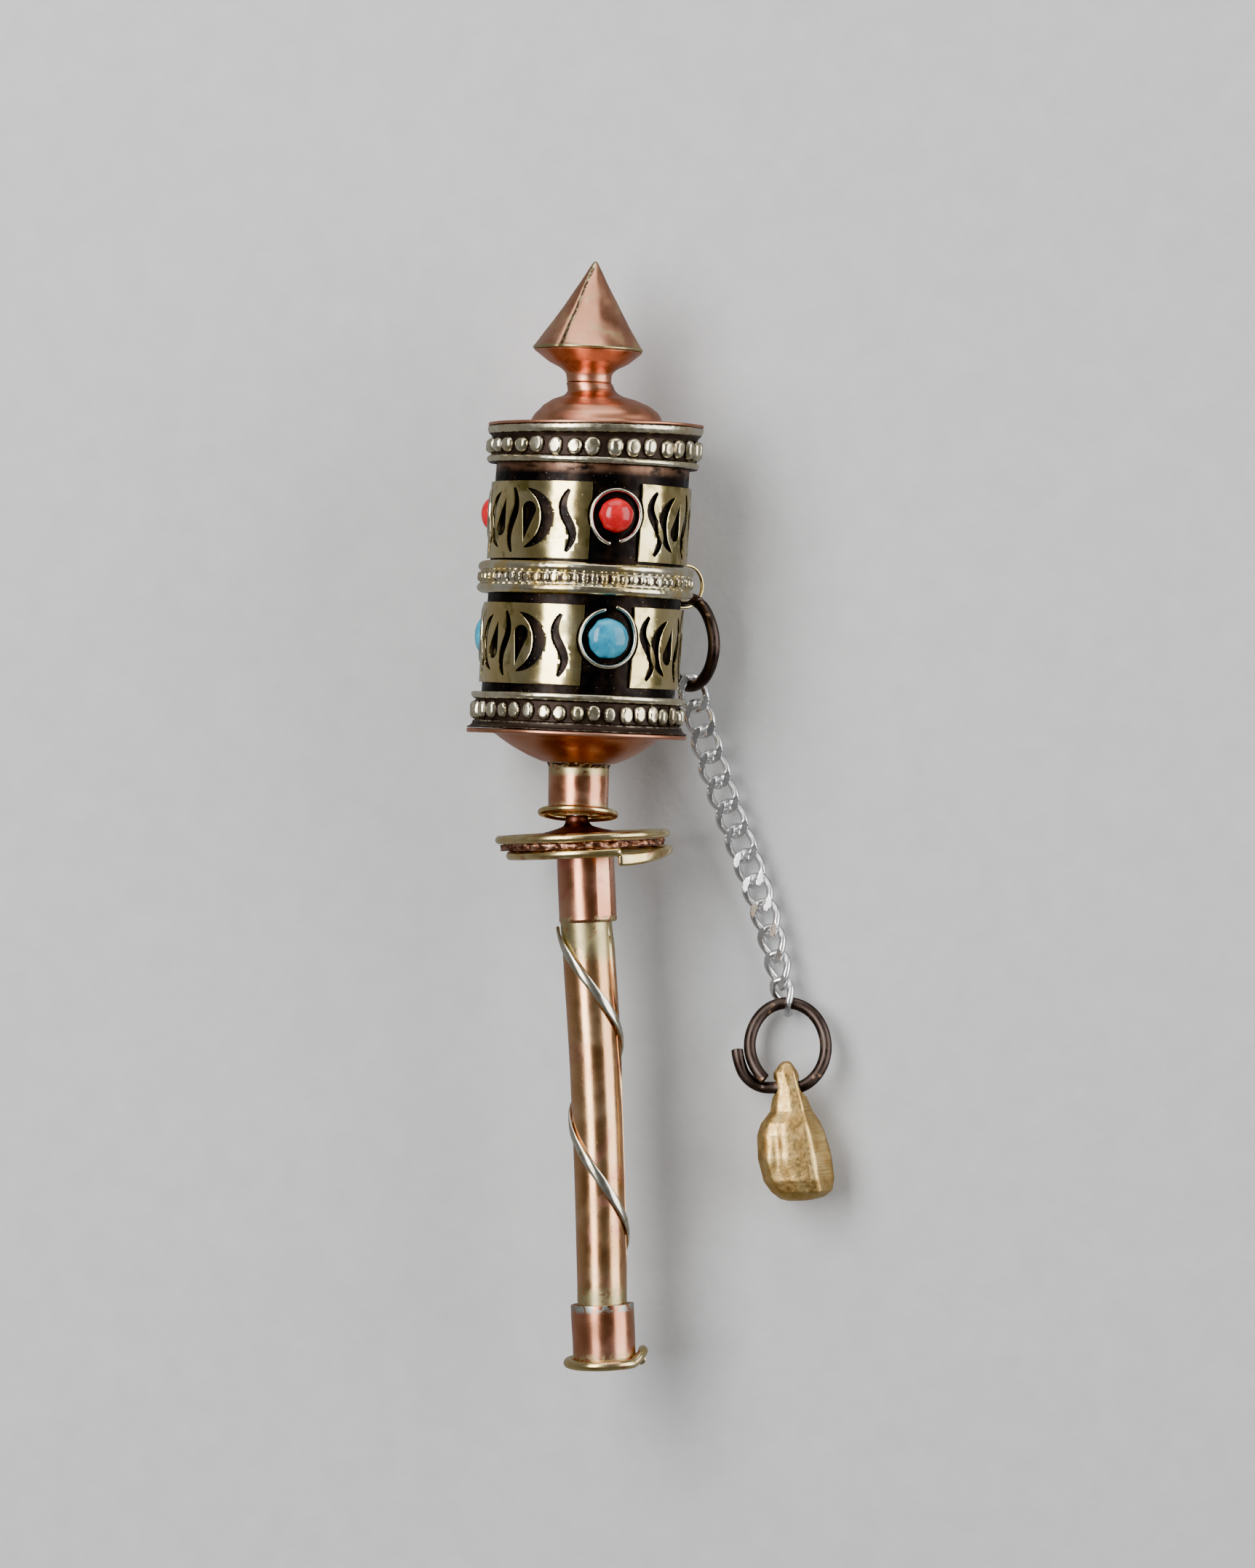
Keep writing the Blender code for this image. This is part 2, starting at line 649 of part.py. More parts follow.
def chain(drum_axis):
    eyelet_centre, crossing = hang_point()
    tangent = Vector((math.cos(EYELET_AZIMUTH), math.sin(EYELET_AZIMUTH), 0))
    ring_pivot = pivot("upper_ring_pivot", eyelet_centre, -tangent, drum_axis)
    ring = wire("upper_ring", oval(*UPPER_RING, 118, -238, 32), RING_WIRE_R, "oxidised")
    centre = crossing - Vector((0, 0, UPPER_RING[1]))
    facing = Matrix.Rotation(EYELET_AZIMUTH, 4, "Z")
    carry(ring, Matrix.Translation(centre * MM) @ facing, ring_pivot)

    hook = centre - Vector((0, 0, UPPER_RING[1]))
    share = next_on_path(hook, 0.0, RING_TO_LINK)
    shares = [share]
    for _ in range(LINKS):
        share = next_on_path(hook, share, LINK_PITCH)
        shares.append(share)

    mesh = link_mesh()
    parent, above = ring_pivot, None
    for n in range(LINKS):
        place = chain_path(hook, shares[n])
        down = chain_path(hook, shares[n + 1]) - place
        roll = math.radians(9 if n == 0 else -10 * max(0, n - (LINKS - 7)))
        frame = link_frame(place, down, roll)
        if above is None:
            joint, axis = hook, -tangent
        elif n % 2:
            joint, axis = end_wire(above, -1)
        else:
            joint, axis = end_wire(frame, 1)
        if n % 4 > 1:
            axis = -axis
        parent = pivot(f"link_{n + 1:02d}_pivot", joint, axis, parent)
        link = add(f"link_{n + 1:02d}", mesh, None)
        carry(link, frame, parent)
        above = frame
    return above, parent


def end_wire(frame, end):
    """The middle of a link's end bend, and the direction of its wire there."""
    twist = LINK_TWIST * end
    place = frame @ Vector((0, 0, end * LINK_HALF_LENGTH * MM))
    return place / MM, frame.to_3x3() @ Vector((math.cos(twist), math.sin(twist), 0))


def lower_ring(last_link, parent):
    """A bigger oval ring; its wire starts inside and its end stands out at the left."""
    joint, _ = end_wire(last_link, -1)
    top = last_link @ Vector((0, 0, -RING_TO_LINK * MM)) / MM
    ring_pivot = pivot("lower_ring_pivot", joint, (0, 1, 0), parent)
    spread = 2 * RING_WIRE_R + 0.12

    def outward(degrees):
        return spread * ease((-degrees - 104) / 54)

    def backward(degrees):
        """The end passes behind the start, which bends a little forward."""
        behind = 1.5 * ease((-degrees - 104) / 26) * ease((178 + degrees) / 50)
        return behind - 0.45 * ease((degrees - 180) / 50)

    start, end, count = 229, -178, 40
    points = [
        (x, y + backward(start + (end - start) * i / (count - 1)), z)
        for i, (x, y, z) in enumerate(oval(*LOWER_RING, start, end, count, outward))
    ]
    ring = wire("lower_ring", points, RING_WIRE_R, "oxidised")
    tilt = Matrix.Rotation(-LOWER_RING_TILT, 4, "X")
    centre = top - tilt.to_3x3() @ Vector((0, 0, LOWER_RING[1]))
    carry(ring, Matrix.Translation(centre * MM) @ tilt, ring_pivot)
    return centre - tilt.to_3x3() @ Vector((0, 0, LOWER_RING[1])), ring_pivot


def weight(hook, parent):
    """A cast drop with a pierced lug and one face filed flat."""
    weight_pivot = pivot("weight_pivot", hook, (1, 0, 0), parent)
    profile = [
        (0, WEIGHT_TOP), (1.6, WEIGHT_TOP - 0.2), (2.4, WEIGHT_TOP - 1.4), (2.5, -1.4),
        (3.6, -3.4), (4.9, -6.2), (5.0, -9.4), (5.45, -13.4), (5.8, -16.6),
        (5.3, WEIGHT_BOTTOM), (0, WEIGHT_BOTTOM),
    ]
    body = turned("weight", profile, "cast_brass", segments=14, closed=False)
    press_flat(body, math.radians(75), 4.7)
    cutter_mesh = bpy.data.meshes.new("lug_bore_cutter")
    drill = bmesh.new()
    bmesh.ops.create_cone(drill, cap_ends=True, segments=16, radius1=LUG_BORE_R * MM,
                          radius2=LUG_BORE_R * MM, depth=12 * MM,
                          matrix=Matrix.Translation((0, 0, 0.3 * MM))
                          @ Matrix.Rotation(math.radians(90), 4, "Y"))
    drill.to_mesh(cutter_mesh)
    drill.free()
    cutter = bpy.data.objects.new("lug_bore_cutter", cutter_mesh)
    CUTTERS.objects.link(cutter)
    cutter.hide_render = True
    cutter.display_type = "WIRE"
    bore = body.modifiers.new("bore", "BOOLEAN")
    bore.operation = "DIFFERENCE"
    bore.object = cutter
    body = settle(body)
    carry(body, Matrix.Translation(hook * MM), weight_pivot)


# ---------------------------------------------------------------- assembly
clear_scene()
PARTS = collection("prayer_wheel")
CUTTERS = collection("cutters")

pommel_stone()
pommel_ring()
lower_ferrule()
handle_tube()
spiral_wire()
upper_ferrule()
guard()
neck_cone()

lean_pivot = empty_at("lean_pivot", Matrix.Translation((PIVOT_X * MM, 0, PIVOT_Z * MM))
                      @ Matrix.Rotation(LEAN, 4, "Y"))
spindle(lean_pivot)
drum_shell(lean_pivot)
drum_bands(lean_pivot)
ornaments(lean_pivot)
eyelet(lean_pivot)
lid(lean_pivot)
end_frame, end_pivot = chain(lean_pivot)
weight(*lower_ring(end_frame, end_pivot))
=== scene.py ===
"""The looks of a small copper and brass prayer wheel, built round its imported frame.

Lengths are in millimetres, in a piece's own straight frame: the handle's, the drum's,
which leans, or a hanging part's. Azimuth 0 is the front, -Y, and 90 degrees is +X.
"""
import json
import math

import bmesh
import bpy
import numpy as np
from mathutils import Matrix, Vector, noise

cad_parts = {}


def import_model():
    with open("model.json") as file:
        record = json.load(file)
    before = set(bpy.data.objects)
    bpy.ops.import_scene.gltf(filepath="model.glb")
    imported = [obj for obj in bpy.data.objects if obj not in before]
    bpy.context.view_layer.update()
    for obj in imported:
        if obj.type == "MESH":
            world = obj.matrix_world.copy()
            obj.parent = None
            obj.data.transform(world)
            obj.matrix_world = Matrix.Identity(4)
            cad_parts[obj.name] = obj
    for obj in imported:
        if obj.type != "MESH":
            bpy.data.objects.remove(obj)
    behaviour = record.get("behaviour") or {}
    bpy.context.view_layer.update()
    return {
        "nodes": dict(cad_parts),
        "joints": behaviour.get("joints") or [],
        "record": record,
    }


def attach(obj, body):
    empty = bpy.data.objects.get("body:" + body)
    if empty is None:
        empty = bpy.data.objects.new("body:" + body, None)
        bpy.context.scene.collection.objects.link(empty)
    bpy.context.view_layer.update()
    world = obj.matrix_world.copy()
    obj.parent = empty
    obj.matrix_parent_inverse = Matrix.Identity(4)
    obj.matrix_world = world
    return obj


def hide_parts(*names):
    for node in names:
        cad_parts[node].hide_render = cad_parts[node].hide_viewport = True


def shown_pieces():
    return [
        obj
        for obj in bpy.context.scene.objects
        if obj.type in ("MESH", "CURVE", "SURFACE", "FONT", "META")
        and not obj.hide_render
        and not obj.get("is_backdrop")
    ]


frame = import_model()

MM = 0.001
JOINTS = {joint["name"]: joint for joint in frame["joints"]}
BODY_OF = {node: body for body, nodes in frame["record"]["behaviour"]["bodies"].items()
           for node in nodes}
DRUM_AXIS = Vector(JOINTS["drum_spin"]["axis"])
LEAN = math.atan2(DRUM_AXIS.x, DRUM_AXIS.z)
HANDLE = Matrix.Identity(4)
NECK_X = JOINTS["spindle_lean"]["pos_m"][0] / MM
DRUM = (Matrix.Translation(JOINTS["spindle_lean"]["pos_m"])
        @ Matrix.Rotation(LEAN, 4, "Y"))
HOOK = Vector(JOINTS["weight_swing"]["pos_m"])
EYELET_CENTRE = DRUM.inverted() @ Vector(JOINTS["upper_ring_swing"]["pos_m"]) / MM
EYELET_AZIMUTH = math.atan2(EYELET_CENTRE.x, -EYELET_CENTRE.y)
THIRD = math.radians(120)


# ---- measuring the frame
def local_points(node, place=HANDLE):
    """A CAD node's vertices in a straight frame, in millimetres."""
    back = np.array(place.inverted())
    points = np.array([v.co for v in frame["nodes"][node].data.vertices], float)
    return (points @ back[:3, :3].T + back[:3, 3]) / MM


def span(node, place=HANDLE):
    """Inner and outer radius about the frame's Z, and lowest and highest point."""
    points = local_points(node, place)
    radii = np.hypot(points[:, 0], points[:, 1])
    return radii.min(), radii.max(), points[:, 2].min(), points[:, 2].max()


def below(top, *points):
    """Profile points from pairs of a radius and a drop below a level."""
    return [(radius, top - fall) for radius, fall in points]


def own_frame(node):
    """A symmetric piece's middle and main directions: X side, Y thin, Z long."""
    mesh = frame["nodes"][node].data
    mesh.calc_loop_triangles()
    centres, areas = [], []
    for triangle in mesh.loop_triangles:
        centres.append(sum((mesh.vertices[i].co for i in triangle.vertices), Vector()) / 3)
        areas.append(triangle.area)
    centres, areas = np.array(centres), np.array(areas)[:, None]
    middle = (centres * areas).sum(0) / areas.sum()
    spread = (centres - middle).T @ ((centres - middle) * areas)
    thin, side, long = np.linalg.eigh(spread)[1].T
    if long[2] < 0:
        long = -long
    side = np.cross(thin, long)
    turn = Matrix([side, thin, long]).transposed().to_4x4()
    return Matrix.Translation(middle) @ turn


# ---- mesh building
def ease(value):
    """0 to 1 with a soft start and end."""
    value = np.clip(value, 0.0, 1.0)
    return value * value * (3 - 2 * value)


def turns(start, end, count):
    """Even angles in radians, from a start and an end in degrees."""
    return np.radians(np.linspace(start, end, count))


def unit(vectors):
    return vectors / np.linalg.norm(vectors, axis=-1, keepdims=True)


PLATE_THICK = 0.7
BASE_Z = span("drum_base", DRUM)[3] - PLATE_THICK
CROOKED = {-12: 0.1, -4: -0.1, 0: -0.65, 6: -0.65, 24: -0.2, 44: 0.3, 51: 0.6, 55.3: -0.9,
           60.2: -1.25, 74.2: -0.65}


def sideways(height):
    """How far the hand-made drum strays from its own axis, by height above the base."""
    return np.interp(height - BASE_Z, list(CROOKED), list(CROOKED.values()))


def crooked(points):
    """Bends drum pieces off true. Their bores stay, and the lid's top sits down at the left."""
    points = np.array(points, float)
    height = points[..., 2] - BASE_Z
    reach = np.hypot(points[..., 0], points[..., 1])
    free = np.maximum(ease((reach - 2.6) / 2.5), ease((height - 50) / 2))
    top = ease((height - 44) / 4) * ease((56 - height) / 4)
    points[..., 2] += top * (0.026 * points[..., 0] - 0.42)
    points[..., 0] += free * sideways(points[..., 2])
    return points


def ripple(points, size, seed=0):
    """Smooth noise, about -1 to 1, over points in millimetres, with lumps of one size."""
    shift = Vector((7.3, 3.1, 5.7)) * (seed + 0.37)
    flat = np.asarray(points, float).reshape(-1, 3) / size
    values = [noise.noise(Vector(p) + shift) for p in flat]
    return np.array(values).reshape(np.shape(points)[:-1])


def soften(points, radius, closed=True, steps=3):
    """Rounds the corners of an outline."""
    points = [np.array(p, float) for p in points]
    made = []
    for i, here in enumerate(points):
        if not closed and i in (0, len(points) - 1):
            made.append(here)
            continue
        back, ahead = points[i - 1] - here, points[(i + 1) % len(points)] - here
        lengths = np.linalg.norm(back), np.linalg.norm(ahead)
        cut = min(radius, 0.45 * min(lengths))
        start, end = here + back / lengths[0] * cut, here + ahead / lengths[1] * cut
        for t in np.linspace(0, 1, steps + 1):
            made.append((1 - t) ** 2 * start + 2 * t * (1 - t) * here + t * t * end)
    return np.array(made)


def refine(points, step, closed=True):
    """Splits the long sides of an outline."""
    following = np.roll(points, -1, axis=0) if closed else points[1:]
    made = []
    for a, b in zip(points, following):
        parts = max(1, math.ceil(np.linalg.norm(b - a) / step))
        made += [a + (b - a) * k / parts for k in range(parts)]
    if not closed:
        made.append(points[-1])
    return np.array(made)


def settle(mesh, place, relief=None, angle=40):
    """Closes a mesh built in local millimetres: outward faces, shading, attributes."""
    built = bmesh.new()
    built.from_mesh(mesh)
    bmesh.ops.recalc_face_normals(built, faces=built.faces)
    built.to_mesh(mesh)
    built.free()
    points = np.zeros(len(mesh.vertices) * 3, np.float32)
    mesh.vertices.foreach_get("co", points)
    mesh.attributes.new("local", "FLOAT_VECTOR", "POINT").data.foreach_set("vector", points)
    if relief is not None:
        values = np.zeros(len(mesh.vertices), np.float32)
        values[:relief.size] = relief.ravel()
        mesh.attributes.new("relief", "FLOAT", "POINT").data.foreach_set("value", values)
    mesh.transform(place @ Matrix.Scale(MM, 4))
    mesh.shade_smooth()
    mesh.set_sharp_from_angle(angle=math.radians(angle))
    return mesh


def skin(rings, loop, place, relief=None, angle=40):
    """Faces over a stack of rings; the stack closes on itself, or its ends are capped."""
    rings = crooked(rings) if place is DRUM else np.asarray(rings, float)
    rows, columns = rings.shape[:2]
    index = np.arange(rows * columns).reshape(rows, columns)
    beside = np.roll(index, -1, axis=1)
    quads = np.stack([index, beside, np.roll(beside, -1, 0), np.roll(index, -1, 0)], -1)
    faces = (quads if loop else quads[:-1]).reshape(-1, 4).tolist()
    if not loop:
        faces += [index[0][::-1].tolist(), index[-1].tolist()]
    mesh = bpy.data.meshes.new("skin")
    mesh.from_pydata(rings.reshape(-1, 3).tolist(), [], faces)
    return settle(mesh, place, relief, angle)


def around(radius, height, azimuth):
    """Points from a radius, a height and an azimuth."""
    return np.stack([radius * np.sin(azimuth), -radius * np.cos(azimuth),
                     height + 0 * azimuth], -1)


def lathe(profile, place, columns=96, soft=0.12, step=1.2, closed=True, shape=None,
          relief=None, azimuths=None, angle=40):
    """A profile of (radius, height) turned round Z. Shape changes radius and height."""
    outline = refine(soften(profile, soft, closed), step, closed)
    if azimuths is None:
        azimuths = np.linspace(0, math.tau, columns, endpoint=False)
    radius = np.maximum(outline[:, :1], 0.02) + 0 * azimuths[None]
    height = outline[:, 1:] + 0 * azimuths[None]
    azimuth = azimuths[None] + 0 * radius
    if shape:
        points = around(radius, height, azimuth)
        radius, height = shape(radius, height, azimuth, points)
    values = relief(radius, height, azimuth) if relief else None
    return skin(around(radius, height, azimuth), closed, place, values, angle)


def dented(depth, size, seed, tilt=0.0):
    """A lathe shape with shallow dents and a slightly wavy height."""
    def shape(radius, height, azimuth, points):
        heave = tilt * ripple(points, size * 2, seed + 11)
        return radius + depth * ripple(points, size, seed), height + heave
    return shape


def circle(radius, turn, height=None):
    """Points at a radius and a turn from +X; flat, unless they have a height."""
    flat = [radius * np.cos(turn), radius * np.sin(turn)]
    return np.stack(flat if height is None else [*flat, height + 0 * turn], -1)


def round_section(radius, sides=20):
    return circle(radius, np.linspace(0, math.tau, sides, endpoint=False))


def sweep(path, reference, section, place, closed=False, shape=None, angle=50):
    """A section carried along a path; reference gives the section's first direction."""
    reference = np.asarray(reference, float) + 0 * path
    if section.ndim == 2:
        section = np.repeat(section[None], len(path), 0)
    across = np.roll(path, -1, 0) - np.roll(path, 1, 0)
    tangent = unit(across if closed else np.gradient(path, axis=0))
    first = unit(reference - tangent * (reference * tangent).sum(1)[:, None])
    second = np.cross(tangent, first)
    rings = (path[:, None] + section[:, :, :1] * first[:, None]
             + section[:, :, 1:] * second[:, None])
    if not closed:
        chamfer, end_size = 0.12, 0.8
        start = path[0] + (rings[0] - path[0]) * end_size - tangent[0] * chamfer
        end = path[-1] + (rings[-1] - path[-1]) * end_size + tangent[-1] * chamfer
        rings = np.concatenate([start[None], rings, end[None]])
    return skin(shape(rings) if shape else rings, closed, place, angle=angle)


def add_object(name, data):
    made = bpy.data.objects.new(name, data)
    bpy.context.scene.collection.objects.link(made)
    return made


def applied(obj):
    """The mesh that an object makes with its modifiers; the object itself goes."""
    shown = obj.evaluated_get(bpy.context.evaluated_depsgraph_get())
    mesh = bpy.data.meshes.new_from_object(shown)
    bpy.data.objects.remove(obj)
    return mesh


def show(name, mesh, finish):
    """Puts a piece on its body, in place of the CAD node that it is named for."""
    obj = add_object(f"{name}_fine", mesh)
    mesh.name = obj.name
    mesh.materials.append(finish.material)
    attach(obj, BODY_OF[name])
    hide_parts(name)


# ---- materials
class Nodes:
    """Short calls for building a node tree."""

    def __init__(self, tree):
        self.tree = tree

    def node(self, kind, inputs=None, **settings):
        made = self.tree.nodes.new(kind)
        for key, value in settings.items():
            setattr(made, key, value)
        for socket, value in (inputs or {}).items():
            self.put(made.inputs[socket], value)
        return made

    def put(self, socket, value):
        if isinstance(value, bpy.types.NodeSocket):
            self.tree.links.new(value, socket)
        else:
            socket.default_value = (*value, 1.0) if socket.type == "RGBA" else value

    def ramp(self, value, places, colours):
        made = self.node("ShaderNodeValToRGB", {0: value})
        elements = made.color_ramp.elements
        while len(elements) < len(places):
            elements.new(0.5)
        for element, place, colour in zip(elements, places, colours):
            element.position = place
            element.color = (*colour, 1.0)
        return made.outputs[0]

    def mix(self, share, a, b):
        return self.node("ShaderNodeMix", {0: share, 6: a, 7: b}, data_type="RGBA").outputs[2]


class Finish(Nodes):
    """A material whose patterns are sized in a piece's own millimetres."""

    def __init__(self, name, slot):
        self.slot = slot
        self.material = bpy.data.materials.new(name)
        self.material.use_nodes = True
        super().__init__(self.material.node_tree)
        self.shader = self.tree.nodes["Principled BSDF"]
        self.place = self.attribute("local").outputs["Vector"]

    def attribute(self, name):
        return self.node("ShaderNodeAttribute", attribute_name=name)

    def texture(self, kind, scale, **inputs):
        vector = self.node("ShaderNodeVectorMath", {0: self.place, 1: scale},
                           operation="MULTIPLY").outputs[0]
        return self.node(kind, {"Vector": vector, "Scale": 1.0, **inputs}).outputs[0]

    def noise(self, size, detail=3.0, stretch=(1, 1, 1), distortion=0.0):
        """Noise with lumps of a size in millimetres, longer along a stretched axis."""
        return self.texture("ShaderNodeTexNoise", [1 / (size * s) for s in stretch],
                            Detail=detail, Distortion=distortion)

    def spots(self, size):
        """The distance to the nearest of scattered points, in shares of their spacing."""
        return self.texture("ShaderNodeTexVoronoi", [1 / size] * 3)

    def steps(self, value, low, high, out_low=0.0, out_high=1.0):
        return self.node("ShaderNodeMapRange", {
            0: value, 1: low, 2: high, 3: out_low, 4: out_high,
        }, interpolation_type="SMOOTHSTEP").outputs[0]

    def times(self, a, b):
        return self.node("ShaderNodeMath", {0: a, 1: b}, operation="MULTIPLY").outputs[0]

    def plus(self, a, b):
        return self.node("ShaderNodeMath", {0: a, 1: b}, operation="ADD").outputs[0]

    def blend(self, share, a, b):
        return self.node("ShaderNodeMix", {0: share, 2: a, 3: b}).outputs[0]

    def axis(self, index):
        return self.node("ShaderNodeSeparateXYZ", {0: self.place}).outputs[index]

    def zone(self, low, high, edge):
        """1 between two local heights, fading out over an edge."""
        height = self.axis(2)
        return self.times(self.steps(height, low - edge, low),
                          self.steps(height, high, high + edge, 1.0, 0.0))

    def bumps(self, *layers):
        """A normal from layers of (height, depth in millimetres)."""
        normal = None
        for height, depth in layers:
            inputs = {"Height": height, "Strength": 1.0, "Distance": depth * MM}
            if normal:
                inputs["Normal"] = normal
            normal = self.node("ShaderNodeBump", inputs).outputs[0]
        return normal

    def finish(self, colour, roughness, metallic, normal, **more):
        inputs = {"Base Color": colour, "Roughness": roughness, "Metallic": metallic,
                  "Normal": normal, **more}
        for name, value in inputs.items():
            self.put(self.shader.inputs[name], value)
        return self


def metal(name, slot, tones, rough, blotch, tarnish_and_reflection=None, pits=0.15, stains=(),
          grain=0.004, stretch=(1, 1, 6), patina=None):
    """Worn sheet or wire: three tones in blotches, dark tarnish (painted reflections on the
    plaques), pits and stains.

    Tarnish is (colour, share, size), and on the plaques its dark olive is a painted reflection; a
    stain is (colour, low, high, edge, share) over local heights; patina is (colour, low, high)
    over the piece's relief.
    """
    made = Finish(name, slot)
    colour = made.ramp(made.noise(blotch, 5.0), (0.30, 0.50, 0.68), tones)
    roughness = made.steps(made.noise(blotch * 0.5, 4.0), 0.3, 0.7, rough * 0.85, rough * 1.2)
    # Real tarnish on most pieces; on the plaques these dark mottles are painted reflections of
    # the dark room.
    if tarnish_and_reflection:
        shade, share, size = tarnish_and_reflection
        mask = made.steps(made.noise(size, 8.0, distortion=0.4), 0.62 - share * 0.3,
                          0.72 - share * 0.2)
        colour = made.mix(mask, colour, shade)
        roughness = made.plus(roughness, made.times(mask, 0.06))
    for shade, low, high, edge, share in stains:
        mottle = made.steps(made.noise(1.3, 6.0, distortion=1.0), 0.62 - share * 0.4,
                            0.70 - share * 0.35)
        mask = made.times(made.zone(low, high, edge), mottle)
        colour = made.mix(mask, colour, shade)
        roughness = made.plus(roughness, made.times(mask, 0.12))
    speck = made.steps(made.spots(0.9), 0.05, 0.16, pits, 0.0)
    colour = made.mix(speck, colour, [c * 0.18 for c in tones[0]])
    metallic = 1.0
    if patina:
        shade, low, high = patina
        level = made.plus(made.attribute("relief").outputs["Fac"],
                          made.times(made.noise(0.8, 5.0), 0.5))
        worn = made.steps(level, low + 0.25, high + 0.25)
        colour = made.mix(worn, shade, colour)
        roughness = made.blend(worn, 0.5, roughness)
        metallic = made.blend(worn, 0.75, 1.0)
    normal = made.bumps((made.noise(0.35, 4.0, stretch), grain),
                        (made.noise(2.5, 2.0), grain * 2.5),
                        (speck, -0.02))
    return made.finish(colour, roughness, metallic, normal)


COPPER = ((0.50, 0.19, 0.10), (0.63, 0.28, 0.165), (0.75, 0.40, 0.26))
RED_COPPER = ((0.58, 0.23, 0.14), (0.70, 0.32, 0.20), (0.80, 0.42, 0.28))
BRONZE = ((0.60, 0.29, 0.13), (0.74, 0.41, 0.20), (0.84, 0.54, 0.30))
BRASS = ((0.66, 0.48, 0.20), (0.76, 0.60, 0.29), (0.84, 0.70, 0.39))
OLIVE_BRASS = ((0.64, 0.48, 0.20), (0.78, 0.63, 0.30), (0.87, 0.76, 0.44))
WHITE_BRASS = ((0.66, 0.55, 0.34), (0.78, 0.70, 0.49), (0.86, 0.81, 0.64))
PATINA = (0.030, 0.018, 0.013)
SOLDER = (0.52, 0.43, 0.22)
GREY_SOLDER = (0.46, 0.47, 0.42)
BURNT = (0.09, 0.045, 0.03)

ferrule_top = span("lower_ferrule")[3]
ferrule_foot = span("upper_ferrule")[2]
collar_low, collar_high = span("collar_tube", DRUM)[2:]
cone_foot = span("finial_cone", DRUM)[2]

copper = metal("copper_sheet", "copper", COPPER, 0.24, 9.0,
               tarnish_and_reflection=((0.62, 0.24, 0.17), 0.25, 5.0), stains=(
                   (GREY_SOLDER, ferrule_top - 0.7, ferrule_top, 0.7, 0.45),
                   (SOLDER, 0.0, 2.2, 1.0, 0.5),
                   (SOLDER, ferrule_foot - 1, ferrule_foot + 0.4, 1.0, 0.35)))
dish_copper = metal("spun_copper", "copper", COPPER, 0.32, 10.0, pits=0.1,
                    tarnish_and_reflection=((0.62, 0.24, 0.15), 0.2, 4.0))
collar_copper = metal("collar_copper", "copper", COPPER, 0.24, 5.0, stains=(
    (SOLDER, collar_high - 1.2, collar_high, 1.1, 0.7),
    (SOLDER, collar_low, collar_low + 1.2, 1.1, 0.6),
    (BURNT, collar_high - 0.5, collar_high, 0.4, 0.45),
    (BURNT, collar_low + 0.7, collar_low + 1.2, 0.4, 0.3)))
red_copper = metal("red_copper", "red_copper", RED_COPPER, 0.32, 6.0,
                   tarnish_and_reflection=((0.45, 0.19, 0.12), 0.15, 2.5))
neck_copper = metal("neck_copper", "red_copper", ((0.14, 0.045, 0.03), (0.24, 0.08, 0.05),
                    (0.36, 0.14, 0.09)), 0.4, 2.0, pits=0.4)
bronze = metal("bronze_tube", "bronze", BRONZE, 0.23, 7.0, pits=0.5, stretch=(1, 1, 12),
               tarnish_and_reflection=((0.66, 0.31, 0.20), 0.3, 4.5), stains=(
                   (SOLDER, ferrule_foot - 4.5, ferrule_foot, 2.5, 0.75),
                   (SOLDER, ferrule_top, ferrule_top + 1.6, 1.8, 0.6)))
brass = metal("brass_wire", "brass", BRASS, 0.22, 4.0, pits=0.25,
              tarnish_and_reflection=((0.56, 0.30, 0.17), 0.2, 2.4))
# The plaques' dark olive mottles are painted reflections of the dark room, not tarnish.
plaque_brass = metal("plaque_brass", "plaque_brass", OLIVE_BRASS, 0.13, 7.0, pits=0.35,
                     grain=0.0012, tarnish_and_reflection=((0.36, 0.30, 0.12), 0.32, 3.2))
pressed_brass = metal("pressed_brass", "white_brass", WHITE_BRASS, 0.24, 3.0, pits=0.1,
                      patina=(PATINA, 0.28, 0.62))
band_brass = metal("band_brass", "white_brass", WHITE_BRASS, 0.18, 5.0, pits=0.2,
                   tarnish_and_reflection=((0.74, 0.58, 0.27), 0.5, 3.0), patina=(PATINA, 0.05, 0.30))
silver = metal("silver_chain", "silver", ((0.90, 0.90, 0.90), (0.95, 0.95, 0.95),
               (0.98, 0.98, 0.98)), 0.27, 3.0, pits=0.05, grain=0.001)
white_wire = metal("white_wire", "white_wire", ((0.68, 0.63, 0.48), (0.80, 0.76, 0.63),
                   (0.88, 0.86, 0.76)), 0.2, 3.0, tarnish_and_reflection=((0.50, 0.43, 0.26), 0.2, 1.8))
oxidised = metal("oxidised_wire", "oxidised_wire", ((0.055, 0.038, 0.032),
                 (0.075, 0.055, 0.047), (0.10, 0.075, 0.065)), 0.42, 3.5, pits=0.0,
                 grain=0.006, tarnish_and_reflection=((0.40, 0.24, 0.15), 0.02, 1.6))
steel = metal("steel_rod", "steel", ((0.38, 0.37, 0.36), (0.50, 0.50, 0.50),
              (0.60, 0.60, 0.60)), 0.3, 3.0)
solder = metal("copper_solder", "copper", ((0.05, 0.025, 0.018), (0.30, 0.13, 0.08),
               (0.72, 0.42, 0.29)), 0.34, 1.1, pits=0.6, grain=0.03, stretch=(1, 1, 1))


